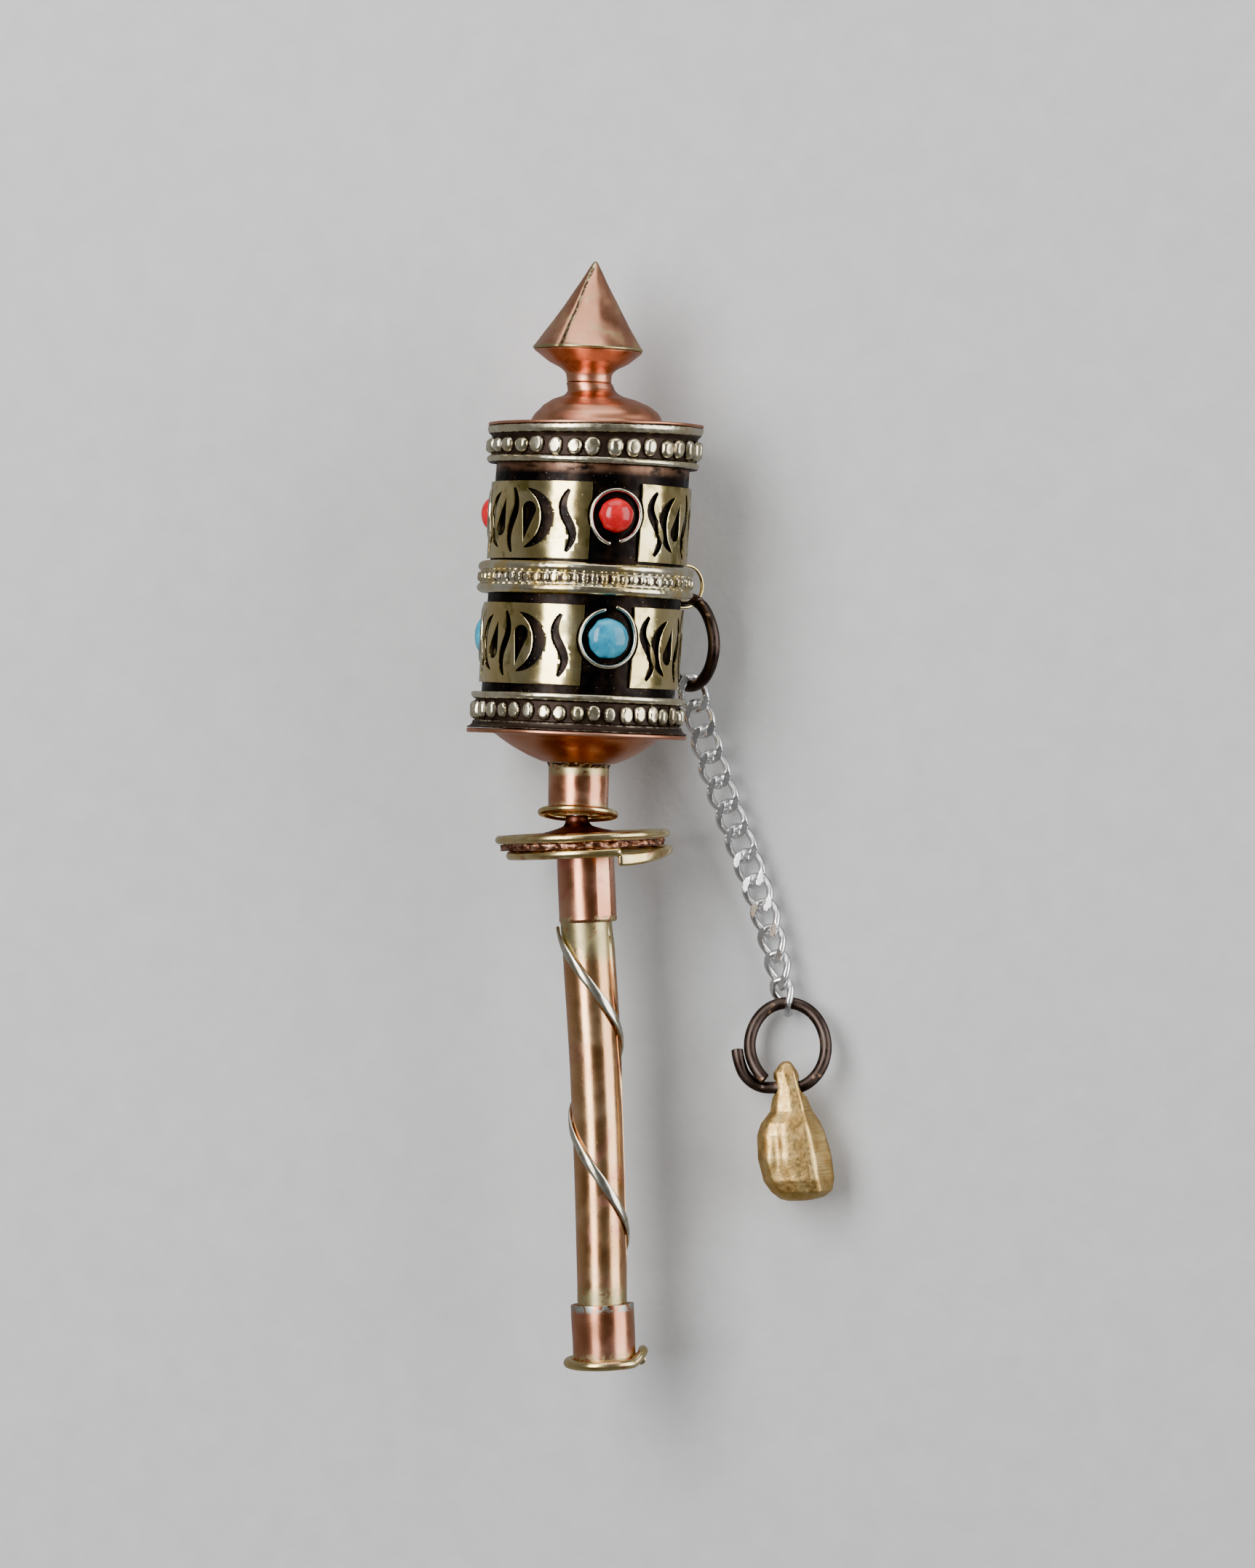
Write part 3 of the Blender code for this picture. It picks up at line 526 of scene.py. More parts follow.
def cone_finish():
    """Satin copper with a soldered lap seam and a soldered rim."""
    made = metal("cone_copper", "copper", ((0.52, 0.22, 0.13), (0.64, 0.31, 0.19),
                 (0.74, 0.42, 0.27)), 0.3, 8.0, pits=0.3,
                 tarnish_and_reflection=((0.62, 0.40, 0.22), 0.2, 4.0))
    seam = made.steps(made.plus(made.attribute("relief").outputs["Fac"],
                                made.times(made.noise(0.7, 5.0), 0.6)), 0.72, 0.88)
    rim = made.times(made.steps(made.axis(2), cone_foot + 0.7, cone_foot + 0.35),
                     made.steps(made.noise(1.6, 5.0), 0.30, 0.42))
    stain = made.ramp(made.noise(0.9, 6.0), (0.40, 0.50, 0.62),
                      (BURNT, (0.45, 0.36, 0.20), (0.66, 0.56, 0.34)))
    old = made.shader.inputs["Base Color"].links[0].from_socket
    colour = made.mix(rim, made.mix(seam, old, stain), SOLDER)
    made.put(made.shader.inputs["Base Color"], colour)
    return made


def dark_wall():
    """Copper sheet under a dark brown patina, with worn specks, and near the top a warmer strip
    that is partly rubbed copper and partly a painted sheen.
    """
    made = Finish("dark_wall", "dark_copper")
    high = span("drum_wall", DRUM)[3]
    # Warmer copper strip near the top: partly rubbed copper, partly a painted sheen.
    rubbed_and_sheen = made.times(made.steps(made.axis(2), high - 5.2, high - 3.6),
                        made.steps(made.noise(3.0, 6.0, (1, 1, 0.4)), 0.30, 0.55))
    colour = made.ramp(made.noise(2.5, 6.0), (0.3, 0.5, 0.7), (
        (0.004, 0.003, 0.003), (0.008, 0.005, 0.004), (0.02, 0.012, 0.008)))
    colour = made.mix(rubbed_and_sheen, colour, (0.18, 0.095, 0.06))
    speck = made.steps(made.spots(0.8), 0.04, 0.10, 0.5, 0.0)
    colour = made.mix(speck, colour, (0.55, 0.40, 0.28))
    roughness = made.steps(made.noise(1.6, 5.0), 0.3, 0.7, 0.28, 0.5)
    normal = made.bumps((made.noise(0.5, 5.0), 0.015), (made.noise(3.0, 2.0), 0.04))
    return made.finish(colour, roughness, 0.85, normal)


def stone_finish(name, slot, tones, veins, vein_share):
    """A polished stone with cloudy tone, faint veins and a clear surface."""
    made = Finish(name, slot)
    colour = made.ramp(made.noise(2.0, 6.0, distortion=0.8), (0.32, 0.5, 0.68), tones)
    vein = made.steps(made.noise(1.4, 8.0, distortion=2.0), 0.56, 0.66, 0.0, vein_share)
    colour = made.mix(vein, colour, veins)
    normal = made.bumps((made.noise(0.9, 4.0), 0.02))
    roughness = made.steps(made.noise(0.8, 4.0), 0.3, 0.7, 0.12, 0.24)
    return made.finish(colour, roughness, 0.0, normal,
                       **{"Subsurface Weight": 0.12, "Subsurface Scale": 0.001})


def cast_finish():
    """Sand-cast brass with a grainy skin, and file marks across its flat face."""
    made = Finish("cast_brass", "cast_brass")
    filed = made.attribute("relief").outputs["Fac"]
    colour = made.ramp(made.noise(2.2, 7.0), (0.32, 0.5, 0.68), (
        (0.54, 0.33, 0.11), (0.70, 0.46, 0.17), (0.82, 0.60, 0.27)))
    dark = made.steps(made.noise(3.2, 6.0, distortion=0.6), 0.62, 0.76, 0.0, 0.4)
    colour = made.mix(dark, colour, (0.26, 0.17, 0.08))
    marks = made.noise(0.16, 3.0, (40, 40, 1))
    scored = made.steps(marks, 0.52, 0.60, 0.0, 0.55)
    colour = made.mix(made.times(scored, filed), colour, (0.36, 0.25, 0.10))
    skin_bump = made.blend(filed, made.noise(0.45, 6.0), marks)
    normal = made.bumps((skin_bump, 0.05), (made.noise(1.5, 3.0), 0.02))
    roughness = made.blend(filed, made.steps(made.noise(0.7, 4.0), 0.3, 0.7, 0.34, 0.52), 0.36)
    return made.finish(colour, roughness, 1.0, normal)


def paper_finish():
    """Handmade paper: fibrous, cream, browner where the layers show."""
    made = Finish("paper_roll", "paper")
    colour = made.ramp(made.noise(1.5, 7.0), (0.3, 0.5, 0.7), (
        (0.50, 0.40, 0.26), (0.68, 0.59, 0.43), (0.78, 0.70, 0.55)))
    normal = made.bumps((made.noise(0.3, 6.0, (1, 1, 5)), 0.03))
    return made.finish(colour, 0.9, 0.0, normal)


wall_dark = dark_wall()
coral = stone_finish("coral", "coral", ((0.45, 0.006, 0.010), (0.58, 0.010, 0.016),
                     (0.66, 0.018, 0.024)), (0.75, 0.10, 0.09), 0.12)
turquoise = stone_finish("turquoise", "turquoise", ((0.015, 0.20, 0.33), (0.03, 0.29, 0.44),
                         (0.06, 0.37, 0.52)), (0.16, 0.47, 0.58), 0.18)
cone_copper = cone_finish()
cast_brass = cast_finish()
paper = paper_finish()


# ---- shared pieces
def tube(name, finish, place, *settings, **more):
    """A tube or disc with its CAD node's own bore, radius and ends."""
    inner, r, low, high = span(name, place)
    profile = [(r, high), (r, low), (inner, low), (inner, high)]
    show(name, lathe(profile, place, *settings, **more), finish)


def flat_ring(name, path, section, wobble, size, seed, place=HANDLE):
    """A brass wire laid in a ring, with a slightly wavy height."""
    path[:, 2] += wobble * ripple(path, size, seed)
    show(name, sweep(path, (0, 0, 1), section, place), brass)


# ---- handle
def bow(height):
    """How far the tube bends towards +X between its ferrules."""
    share = np.clip((height - ferrule_top) / (ferrule_foot - ferrule_top), 0, 1)
    return 0.45 * np.sin(math.pi * share)


TUBE_TAPER = 0.2


def lap_rise(height):
    """0 low on the tube, and 1 where its lap stands fully proud."""
    lowest, blend = 40, 14
    return ease((height - lowest) / blend)


def pommel_stone():
    _, r, low, high = span("pommel_stone")
    profile = [(0, high), (r, high), (r, high - 0.45), (r - 0.35, low + 0.35),
               (r * 0.6, low + 0.02), (0, low)]
    mesh = lathe(profile, HANDLE, 48, 0.3, 0.4, False, dented(0.05, 1.5, 3))
    show("pommel_stone", mesh, coral)


def pommel_ring():
    """A wire ring whose last bit rides up over its start, at the right."""
    wire_r, clear = 0.75, 0.05
    turn = turns(-2, 368, 150)
    over = ease((np.degrees(turn) - 318) / 40)
    reach = span("lower_ferrule")[1] + clear + wire_r + 0.4 * over
    path = circle(reach, turn, 1.4 + 0.35 * np.sin(turn) + 1.9 * wire_r * over)
    flat_ring("pommel_ring", path, round_section(wire_r), 0.06, 3.0, 2)


def lower_ferrule():
    _, r, low, high = span("lower_ferrule")
    inner, bottom = r - 0.5, low + 0.6
    profile = [(0, bottom), (inner, bottom), (inner, high - 0.3), (inner + 0.12, high),
               (r + 0.05, high), (r, low + 0.3), (r - 0.3, low), (0, low)]

    def shape(radius, height, azimuth, points):
        rim = ease((height - high + 1.5) / 1.5)
        radius = radius + 0.10 * ripple(points, 5.0, 5) * np.clip(radius / r, 0, 1)
        return radius, height + rim * 0.12 * ripple(points, 3.0, 6)

    show("lower_ferrule", lathe(profile, HANDLE, 112, 0.12, 0.7, False, shape), copper)


def handle_tube():
    """Sheet rolled to a tube; its lap stands proud along the right side."""
    inner, top_r, low, high = span("handle_tube")
    bottom_r, sheet, flat_from = top_r - TUBE_TAPER, 0.45, np.radians(75)
    profile = [(top_r, high), (bottom_r, low), (bottom_r - sheet, low), (top_r - sheet, high)]
    near = np.radians([0, 1.2, 2.0, 3.0, 4.5, 6.5, 9, 12])
    azimuths = np.concatenate([near, turns(15, 359.5, 120)])

    def shape(radius, height, azimuth, _):
        outer = radius > inner + 0.5 * sheet
        lap = ease((azimuth - near[1]) / np.radians(1.8)) * ease(1 - azimuth / flat_from)
        proud = 0.10 + 0.24 * lap_rise(height)
        fade = ease((ferrule_foot - 0.5 - height) / 4) * ease((height - ferrule_top) / 8)
        return radius + np.where(outer, lap * proud * fade, 0), height

    mesh = lathe(profile, HANDLE, azimuths=azimuths, soft=0.1, step=0.9, shape=shape)
    for vertex in mesh.vertices:
        height = vertex.co.z / MM
        seam = math.radians(56 + 22 * ease((66 - height) / 24))
        vertex.co = Matrix.Rotation(seam, 3, "Z") @ vertex.co
        vertex.co.x += bow(height) * MM
    points, unevenness = np.array([v.co for v in mesh.vertices]) / MM, 0.008
    for vertex, lump in zip(mesh.vertices, ripple(points, 6.0, 8)):
        vertex.co.x *= 1 + unevenness * lump
        vertex.co.y *= 1 + unevenness * lump
    show("handle_tube", mesh, bronze)


def spiral_wire():
    """A flattened wire wound down the handle, thinner at its ends, steeper in front."""
    top, pitch, steeper, rounds, clear = 69.4, 30.2, 2.8, 1.72, 0.33
    share = np.linspace(0, 1, 420)
    wound = math.tau * rounds * share
    height = top - pitch * wound / math.tau - steeper * (1 - np.cos(wound)) / 2
    azimuth = wound - math.pi / 2
    _, top_r, tube_low, tube_high = span("handle_tube")
    tube_r = top_r - TUBE_TAPER * (tube_high - height) / (tube_high - tube_low)
    path = around(tube_r + clear + 0.15 * lap_rise(height), height, azimuth)
    path[:, 0] += bow(height)
    out = around(np.ones_like(height), 0 * height, azimuth)
    end = np.minimum(ease(share * 14), ease((1 - share) * 14))
    width = (0.74 + 0.08 * ripple(path, 4.0, 9)) * (0.4 + 0.6 * end)
    turn = np.linspace(0, math.tau, 16, endpoint=False)
    thick = 0.28 * np.sign(np.cos(turn)) * np.abs(np.cos(turn)) ** 0.8
    section = np.stack([thick[None] + 0 * width[:, None],
                        np.sin(turn)[None] * width[:, None]], -1)
    show("spiral_wire", sweep(path, out, section, HANDLE), white_wire)


def upper_ferrule():
    """A ferrule with one side pressed flat, a crease beside it and a rolled foot."""
    inner, r, low, high = span("upper_ferrule")
    profile = [(r, high), (r, low + 0.9), (r + 0.06, low + 0.45), (r - 0.1, low),
               (inner, low), (inner, high)]
    centre, reach = math.radians(38), r - 0.16

    def shape(radius, height, azimuth, points):
        facing = np.cos(azimuth - centre)
        limit = np.where(facing > 0.5, (reach - (r - radius)) / np.maximum(facing, 0.5), 99)
        flat = np.minimum(radius, limit + 0.3 * ease((low + 1.2 - height) / 1.2))
        return flat + 0.035 * ripple(points, 3.5, 12), height

    place = Matrix.Translation((0.3 * MM, 0, 0))
    show("upper_ferrule", lathe(profile, place, 160, 0.12, 0.5, shape=shape), copper)


def guard():
    """Two wire rings soldered to a disc; the lower one is cut and droops to a wedge."""
    _, r, low, high = span("guard_disc")
    gap = math.radians(48)

    def lumpy(radius, height, azimuth, points):
        rim = ease((radius - r + 2.5) / 2)
        notch = np.exp(-((azimuth - gap) / 0.42) ** 2) * 1.1
        lumps = (0.55 * ripple(points, 2.6, 15) + 0.35 * ripple(points, 0.9, 18)
                 + 0.2 * ripple(points, 0.45, 16)) - 0.25
        return (radius + rim * (lumps - notch),
                height + rim * (0.14 * ripple(points, 0.8, 17)))

    tube("guard_disc", solder, HANDLE, 260, 0.2, 0.3, shape=lumpy)

    wire_r, sink = 0.72, 0.05
    turn = turns(4, 358, 190)
    section = round_section(wire_r) * np.array([0.95, 1.05])
    path = circle(r - sink, turn, high + sink + wire_r)
    flat_ring("guard_ring_upper", path, section, 0.08, 6.0, 21)

    degrees = np.linspace(-68, 292, 190)
    droop = ease(1 - (degrees + 68) / 75)
    path = circle(r - 0.65, np.radians(degrees), low - sink - wire_r - 1.25 * droop)
    path[:, 0] += 1.0
    ring = round_section(wire_r)
    wedge = np.sign(ring) * np.abs(ring / wire_r) ** 0.6 * np.array([0.95, 0.42])
    share = droop[:, None, None]
    flat_ring("guard_ring_lower", path, ring * (1 - share) + wedge * share, 0.06, 5.0, 22)


def neck_cone():
    place = Matrix.Translation((NECK_X * MM, 0, 0))
    inner, r, foot, top = span("neck_cone", place)
    profile = [
        *below(top, (inner + 0.35, 0), (inner + 0.4, 0.9), (inner + 0.85, 1.6), (3.8, 2.15),
               (6.8, 2.85), (r - 0.3, 3.55)),
        (r, foot), (r - 0.6, foot),
        *below(top, (6.5, 3.35), (3.6, 2.65), (inner + 0.65, 2.2), (inner, 1.5), (inner, 0))]
    mesh = lathe(profile, place, 96, 0.5, 0.6, shape=dented(0.12, 2.0, 24, 0.08))
    show("neck_cone", mesh, neck_copper)


# ---- spindle
def spindle():
    _, ball_r, low, top = span("spindle", DRUM)
    rod, shoulder, end_r = 1.1, 1.2, 1.5
    bend = [(end_r * math.cos(a), low + end_r + end_r * math.sin(a))
            for a in turns(42, -88, 14)]
    profile = [(0, top), (rod - 0.3, top), (rod, top - 0.3), (rod, shoulder + 0.6),
               (ball_r, shoulder + 0.6), (ball_r, shoulder), (rod, shoulder), (rod, -1.6),
               *bend, (0, low)]
    show("spindle", lathe(profile, DRUM, 40, 0.1, 2.0, False), steel)
    tube("thrust_washer", brass, DRUM, 64, 0.1)

    inner, r, low, high = span("retaining_nut", DRUM)
    sixth = math.tau / 6

    def hexagon(radius, height, azimuth, _):
        facing = np.cos((azimuth % sixth) - sixth / 2)
        edge = 0.35 * (1 - np.minimum(height - low, high - height) / 0.4).clip(0, 1)
        limit = r * math.cos(sixth / 2) / facing
        return np.where(radius > inner + 0.5, np.minimum(limit, r - edge), radius), height

    tube("retaining_nut", brass, DRUM, 144, 0.08, 0.4, shape=hexagon, angle=25)


# ---- drum
def drum_base():
    """A spun dish under a thin flat plate."""
    _, r, foot, rim = span("drum_base", DRUM)
    plate, bore, sheet = rim - PLATE_THICK, 2.1, 0.6
    profile = [
        (r, rim), *below(plate, (r, 0), (12.8, 0), (11.9, 0.8), (10.2, 2.0), (8.0, 3.2)),
        (5.6, foot), (bore, foot), (bore, foot + sheet), (5.4, foot + sheet), (7.6, foot + 1.5),
        (9.6, foot + 2.8), (11.0, foot + 3.9), (11.6, rim)]
    mesh = lathe(profile, DRUM, 144, 0.5, 0.7, shape=dented(0.06, 5.0, 31, 0.06))
    show("drum_base", mesh, dish_copper)


def wall_and_core():
    """The dark wall, the hollow core and the paper wound round it."""
    tube("drum_wall", wall_dark, DRUM, 144, 0.1, 1.0, shape=dented(0.05, 4.0, 33))
    tube("core_tube", brass, DRUM, 48, 0.08, 4.0)

    inner, r, low, high = span("prayer_scroll", DRUM)
    layers, paper_share = 21, 0.36
    gap = (r - inner) / layers
    turn = np.linspace(0, math.tau * (layers - 1), 48 * (layers - 1))
    reach = inner + gap * (0.5 + turn / math.tau)
    middle = (low + high) / 2
    path = around(reach, middle + 0.25 * np.sin(turn * 0.37), turn)
    half = (high - low) / 2 - 0.3
    sheet = gap * paper_share
    section = np.array([(-sheet, -half), (sheet, -half), (sheet, half), (-sheet, half)])
    out = around(np.ones_like(turn), 0 * turn, turn)
    show("prayer_scroll", sweep(path, out, section, DRUM, angle=30), paper)


def collar():
    inner, r, low, high = span("collar_tube", DRUM)
    profile = [(r, high), (r - 0.35, high - 0.45), (4.7, low + 0.8), (r - 0.05, low),
               (4.7, low), (inner, low + 0.8), (inner, high)]

    def shape(radius, height, azimuth, points):
        joint = ease(1 - (high - height) / 1.0) + ease(1 - (height - low) / 1.3)
        return (radius + 0.04 * ripple(points, 2.5, 36)
                + joint * 0.10 * ripple(points, 0.7, 37)), height

    show("collar_tube", lathe(profile, DRUM, 160, 0.3, 0.25, shape=shape), collar_copper)

    ring_r, wire_r, slope = 5.75, 0.575, 0.139
    turn = turns(6, 356, 130)
    path = circle(ring_r, turn, 1.15 - slope * ring_r * np.sin(turn))
    flat_ring("collar_ring", path, round_section(wire_r, 18), 0.05, 3.0, 38, DRUM)


def beads(count, centre, half_height, half_width, rise, seed, jitter=0.12):
    """Radial rise of a row of pressed beads, each a little different."""
    random = np.random.default_rng(seed)
    widths = half_width * random.uniform(1 - jitter, 1 + jitter, count)
    heights = half_height * random.uniform(1 - jitter, 1 + jitter, count)
    places = (np.arange(count) + random.uniform(-0.10, 0.10, count)) * math.tau / count
    levels = centre + random.uniform(-0.10, 0.10, count) * half_height
    tops = random.uniform(0.62, 1.0, count)

    def lift(radius, height, azimuth):
        nearest = np.round(azimuth / (math.tau / count)).astype(int) % count
        turn = (azimuth - places[nearest] + math.pi) % math.tau - math.pi
        side = turn * radius / widths[nearest]
        rise_share = (height - levels[nearest]) / heights[nearest]
        dome = np.sqrt(np.clip(1 - np.abs(side) ** 2.3 - np.abs(rise_share) ** 2.3, 0, 1))
        return rise * np.minimum(dome, tops[nearest] * 0.9 + 0.1 * dome)
    return lift


def band(name, steps, lift, finish, columns, seed, bead_zone, bright):
    """A pressed band. Steps are (radius, height) down its outer side; relief is 1 on
    the beads and on the bright lips, and 0 in the recess."""
    inner, _, low, high = span(name, DRUM)
    profile = [(inner, high), *steps, (inner, low)]
    back = inner + 0.15

    def shape(radius, height, azimuth, points):
        outer = ease((radius - back) / 0.3)
        in_zone = ease((height - bead_zone[0]) / 0.15) * ease((bead_zone[1] - height) / 0.15)
        radius = radius + outer * (in_zone * lift(radius, height, azimuth)
                                   + 0.06 * ripple(points, 3.0, seed)
                                   + 0.03 * ripple(points, 0.8, seed + 1))
        return radius, height + 0.10 * ripple(points, 7.0, seed + 2) * outer

    def relief(radius, height, azimuth):
        in_zone = (height > bead_zone[0] - 0.05) & (height < bead_zone[1] + 0.05)
        lifted = lift(radius, height, azimuth) * in_zone
        lips = sum(np.exp(-((height - z) / width) ** 2) * share for z, width, share in bright)
        return np.clip(lifted * 1.6 + lips, 0, 1)

    show(name, lathe(profile, DRUM, columns, 0.14, 0.14, shape=shape, relief=relief), finish)


def bands():
    _, r, low, high = span("base_band", DRUM)
    steps = [
        *below(high, (16.6, 0), (16.75, 0.45), (16.5, 0.95), (15.95, 1.15), (15.9, 4.3),
               (16.35, 4.5), (16.45, 4.95)),
        (r - 0.45, low + 0.35), (r, low + 0.2), (r, low)]
    band("base_band", steps, beads(39, high - 2.85, 1.35, 0.95, 1.05, 41), pressed_brass,
         39 * 15, 42, (high - 4.35, high - 1.25),
         ((high - 0.45, 0.55, 1.0), (high - 4.6, 0.25, 0.35), (low + 0.1, 0.3, 0.3)))

    _, r, low, high = span("mid_band", DRUM)
    centre = (low + high) / 2
    lip = [(16.2, 0), (r - 0.1, 0.35), (r + 0.05, 0.8), (r - 0.1, 1.3), (16.42, 1.55)]
    steps = below(high, *lip) + [(radius, low + rise) for radius, rise in reversed(lip)]
    band("mid_band", steps, beads(66, centre, 0.75, 0.6, 0.55, 44, 0.15), band_brass,
         66 * 11, 45, (centre - 0.85, centre + 0.85),
         ((high - 0.75, 0.75, 1.0), (low + 0.75, 0.75, 1.0)))

    _, r, low, high = span("lid_band", DRUM)
    steps = below(high, (16.75, 0), (16.8, 0.6), (16.6, 1.2), (16.2, 1.5), (16.0, 2.1),
                  (16.0, 5.35), (16.3, 5.5), (16.6, 5.7), (16.65, 6.1), (16.4, 6.45))
    band("lid_band", [*steps, (16.1, low)], beads(33, high - 3.75, 1.5, 1.2, 1.1, 47),
         pressed_brass, 33 * 17, 48, (high - 5.35, high - 2.1),
         ((high - 0.65, 0.6, 0.95), (high - 6.0, 0.45, 1.0)))


def lid():
    _, r, low, high = span("lid_cap", DRUM)
    dome = low + 0.5
    profile = [
        *below(high, (3.6, 0), (3.75, 1.2), (4.6, 1.8), (6.6, 2.3), (8.5, 3.2), (9.8, 4.5)),
        (10.4, dome + 0.15), (11.0, dome), (r + 0.1, dome), (r + 0.1, low), (10.0, low),
        *below(high, (9.2, 4.9), (8.1, 3.8), (6.3, 2.9), (4.2, 2.4), (3.2, 1.4), (3.1, 0))]
    mesh = lathe(profile, DRUM, 144, 0.45, 0.6, shape=dented(0.06, 4.0, 51, 0.08))
    show("lid_cap", mesh, dish_copper)

    _, r, low, high = span("finial_cup", DRUM)
    profile = [
        *below(high, (r, 0), (6.2, 1.9), (4.4, 2.8), (3.65, 3.5), (3.5, 4.2)),
        (3.62, low), (3.1, low),
        *below(high, (3.0, 3.6), (4.0, 2.3), (5.9, 1.4), (r - 0.7, 0))]

    def joint(radius, height, azimuth, points):
        seam = np.exp(-((height - low - 0.2) / 0.3) ** 2)
        return radius + 0.04 * ripple(points, 3.0, 53) - seam * 0.08, height

    show("finial_cup", lathe(profile, DRUM, 120, 0.3, 0.35, shape=joint), red_copper)


def finial_cone():
    """Sheet rolled to a cone, with its lap at the left front and a soldered rim."""
    _, r, foot, tip = span("finial_cone", DRUM)
    seam = math.radians(-30)
    profile = [(0, tip), (0.35, tip - 0.15), (0.6, tip - 0.6), (4.3, tip - 7.1),
               (r - 0.35, foot + 0.75), (r + 0.05, foot + 0.3), (r - 0.1, foot), (8.0, foot),
               (7.75, foot + 0.7), (3.8, tip - 7.1), (0, tip - 1.4)]
    near = np.radians([-5, -3.8, -2.6, -1.4, -0.4, 0.6, 1.6, 2.6, 3.8, 5])
    azimuths = np.concatenate([seam + near, seam + turns(7, 353, 130)])

    def shape(radius, height, azimuth, points):
        turn = (azimuth - seam) % math.tau
        side = ease((radius - 0.5) / 2.0)
        lap = ease(turn / np.radians(2.4)) * ease(1 - turn / np.radians(70))
        fold = np.exp(-((turn - math.tau + np.radians(3)) / np.radians(3)) ** 2)
        dents = 0.16 * ripple(points * np.array([1, 1, 0.35]), 2.6, 55)
        return radius + side * (0.30 * lap - 0.15 * fold + dents), height

    def strip(radius, height, azimuth):
        turn = (azimuth - seam + math.pi) % math.tau - math.pi
        return np.exp(-((turn * radius - 0.1) / 0.45) ** 2)

    mesh = lathe(profile, DRUM, azimuths=azimuths, soft=0.25, step=0.45, closed=False,
                 shape=shape, relief=strip)
    show("finial_cone", mesh, cone_copper)


# ---- ornaments
def arc(centre, radius, start, end, count):
    """Points on a flat arc; the angles are in degrees."""
    return circle(radius, turns(start, end, count)) + np.array(centre)


def crescent(centre, radius, width, start, end):
    """A curved slot that tapers to both ends."""
    share = np.linspace(0, 1, 22)
    turn = np.radians(start + (end - start) * share)
    inner = circle(radius - width * np.sin(math.pi * share) ** 0.7, turn)
    return np.concatenate([circle(radius, turn), inner[-2:0:-1]]) + np.array(centre)


def drop(centre, radius, length, lean):
    """A drop: a round end drawn out to a point."""
    meet = math.degrees(math.acos(radius / length))
    loop = np.concatenate([arc((0, 0), radius, 90 + meet, 450 - meet, 18), [(0.0, length)]])
    c, s = math.cos(math.radians(lean)), math.sin(math.radians(lean))
    return loop @ np.array([[c, s], [-s, c]]) + np.array(centre)


def wave(foot, length, width, swing):
    """A closed S-shaped ribbon rising from its foot, tapered at both ends."""
    share = np.linspace(0, 1, 15)
    middle = np.stack([foot[0] + swing * np.sin(math.tau * share), foot[1] + length * share], -1)
    run = np.gradient(middle, axis=0)
    side = unit(np.stack([run[:, 1], -run[:, 0]], -1))
    half = (width / 2 * np.sqrt(np.sin(math.pi * (0.04 + 0.92 * share))))[:, None]
    return np.concatenate([middle + side * half, (middle - side * half)[::-1]])


def pierced_plate(name, loops, thickness):
    """A flat plate with soft edges, from its outline and the outlines of its holes."""
    bevel = 0.05
    data = bpy.data.curves.new(name, "CURVE")
    settings = {"dimensions": "2D", "fill_mode": "BOTH", "extrude": thickness / 2 - bevel,
                "bevel_depth": bevel, "bevel_resolution": 1, "offset": -bevel}
    for key, value in settings.items():
        setattr(data, key, value)
    for loop in loops:
        spline = data.splines.new("POLY")
        spline.points.add(len(loop) - 1)
        for point, (x, y) in zip(spline.points, loop):
            point.co = (x, y, 0, 1)
        spline.use_cyclic_u = True
    return applied(add_object(name, data))


def plaque(name, tilt):
    """A thin pierced plate bent round the wall, with slightly uneven edges."""
    number, upper = int(name[-1]), "upper" in name
    azimuth = STONE_AZIMUTH + (number - 0.5) * THIRD
    inner, outer, bottom, top = span(name, DRUM)
    place = STONE["coral" if upper else "turquoise"]
    stone_height = place["height"] - bottom
    height = top - bottom
    half = inner * PLAQUE_SPAN / 2
    reach = inner * THIRD / 2
    notch = place["bezel"] + 0.55
    rise = math.degrees(math.acos((reach - half) / notch))
    outline = np.concatenate([
        [(-half, 0), (half, 0)], arc((reach, stone_height), notch, 180 + rise, 180 - rise, 17),
        [(half, height), (-half, height)], arc((-reach, stone_height), notch, rise, -rise, 17)])
    middle = height / 2
    mesh = pierced_plate(name, [
        outline,
        wave((-9.2, middle - 5.0), 9.8, 1.5, 1.15),
        crescent((-4.2, middle), 4.4, 1.9, 98, 262),
        drop((-4.4, middle - 1.2), 1.3, 4.7, -14),
        wave((-1.3, middle - 5.1), 10.0, 1.35, -0.7),
        crescent((1.6, middle + 0.2), 4.6, 2.0, -94, 92),
        drop((2.0, middle + 1.5), 1.3, 4.9, 170),
        wave((8.6, middle - 4.9), 9.6, 1.4, 0.9)], outer - inner)

    bent = bmesh.new()
    bent.from_mesh(mesh)
    bmesh.ops.remove_doubles(bent, verts=bent.verts, dist=1e-4)
    for normal, low, high, cuts in ((Vector((1, 0, 0)), -half, half, 44),
                                    (Vector((0, 1, 0)), 0, height, 10)):
        for i in range(1, cuts):
            bmesh.ops.bisect_plane(
                bent, geom=bent.verts[:] + bent.edges[:] + bent.faces[:],
                plane_co=normal * (low + (high - low) * i / cuts), plane_no=normal, dist=1e-4)
    points = np.array([v.co for v in bent.verts])
    dents = 0.055 * ripple(points, 5.0, 60 + number + 5 * upper)
    dents += 0.02 * ripple(points, 1.6, 70 + number)
    for vertex, dent in zip(bent.verts, dents):
        x, y, z = vertex.co
        angle = x / inner + azimuth
        radius = (inner + outer) / 2 + z + dent + 0.05
        vertex.co = crooked((radius * math.sin(angle), -radius * math.cos(angle),
                             bottom + y + tilt * x))
    bent.to_mesh(mesh)
    bent.free()
    show(name, settle(mesh, DRUM), plaque_brass)


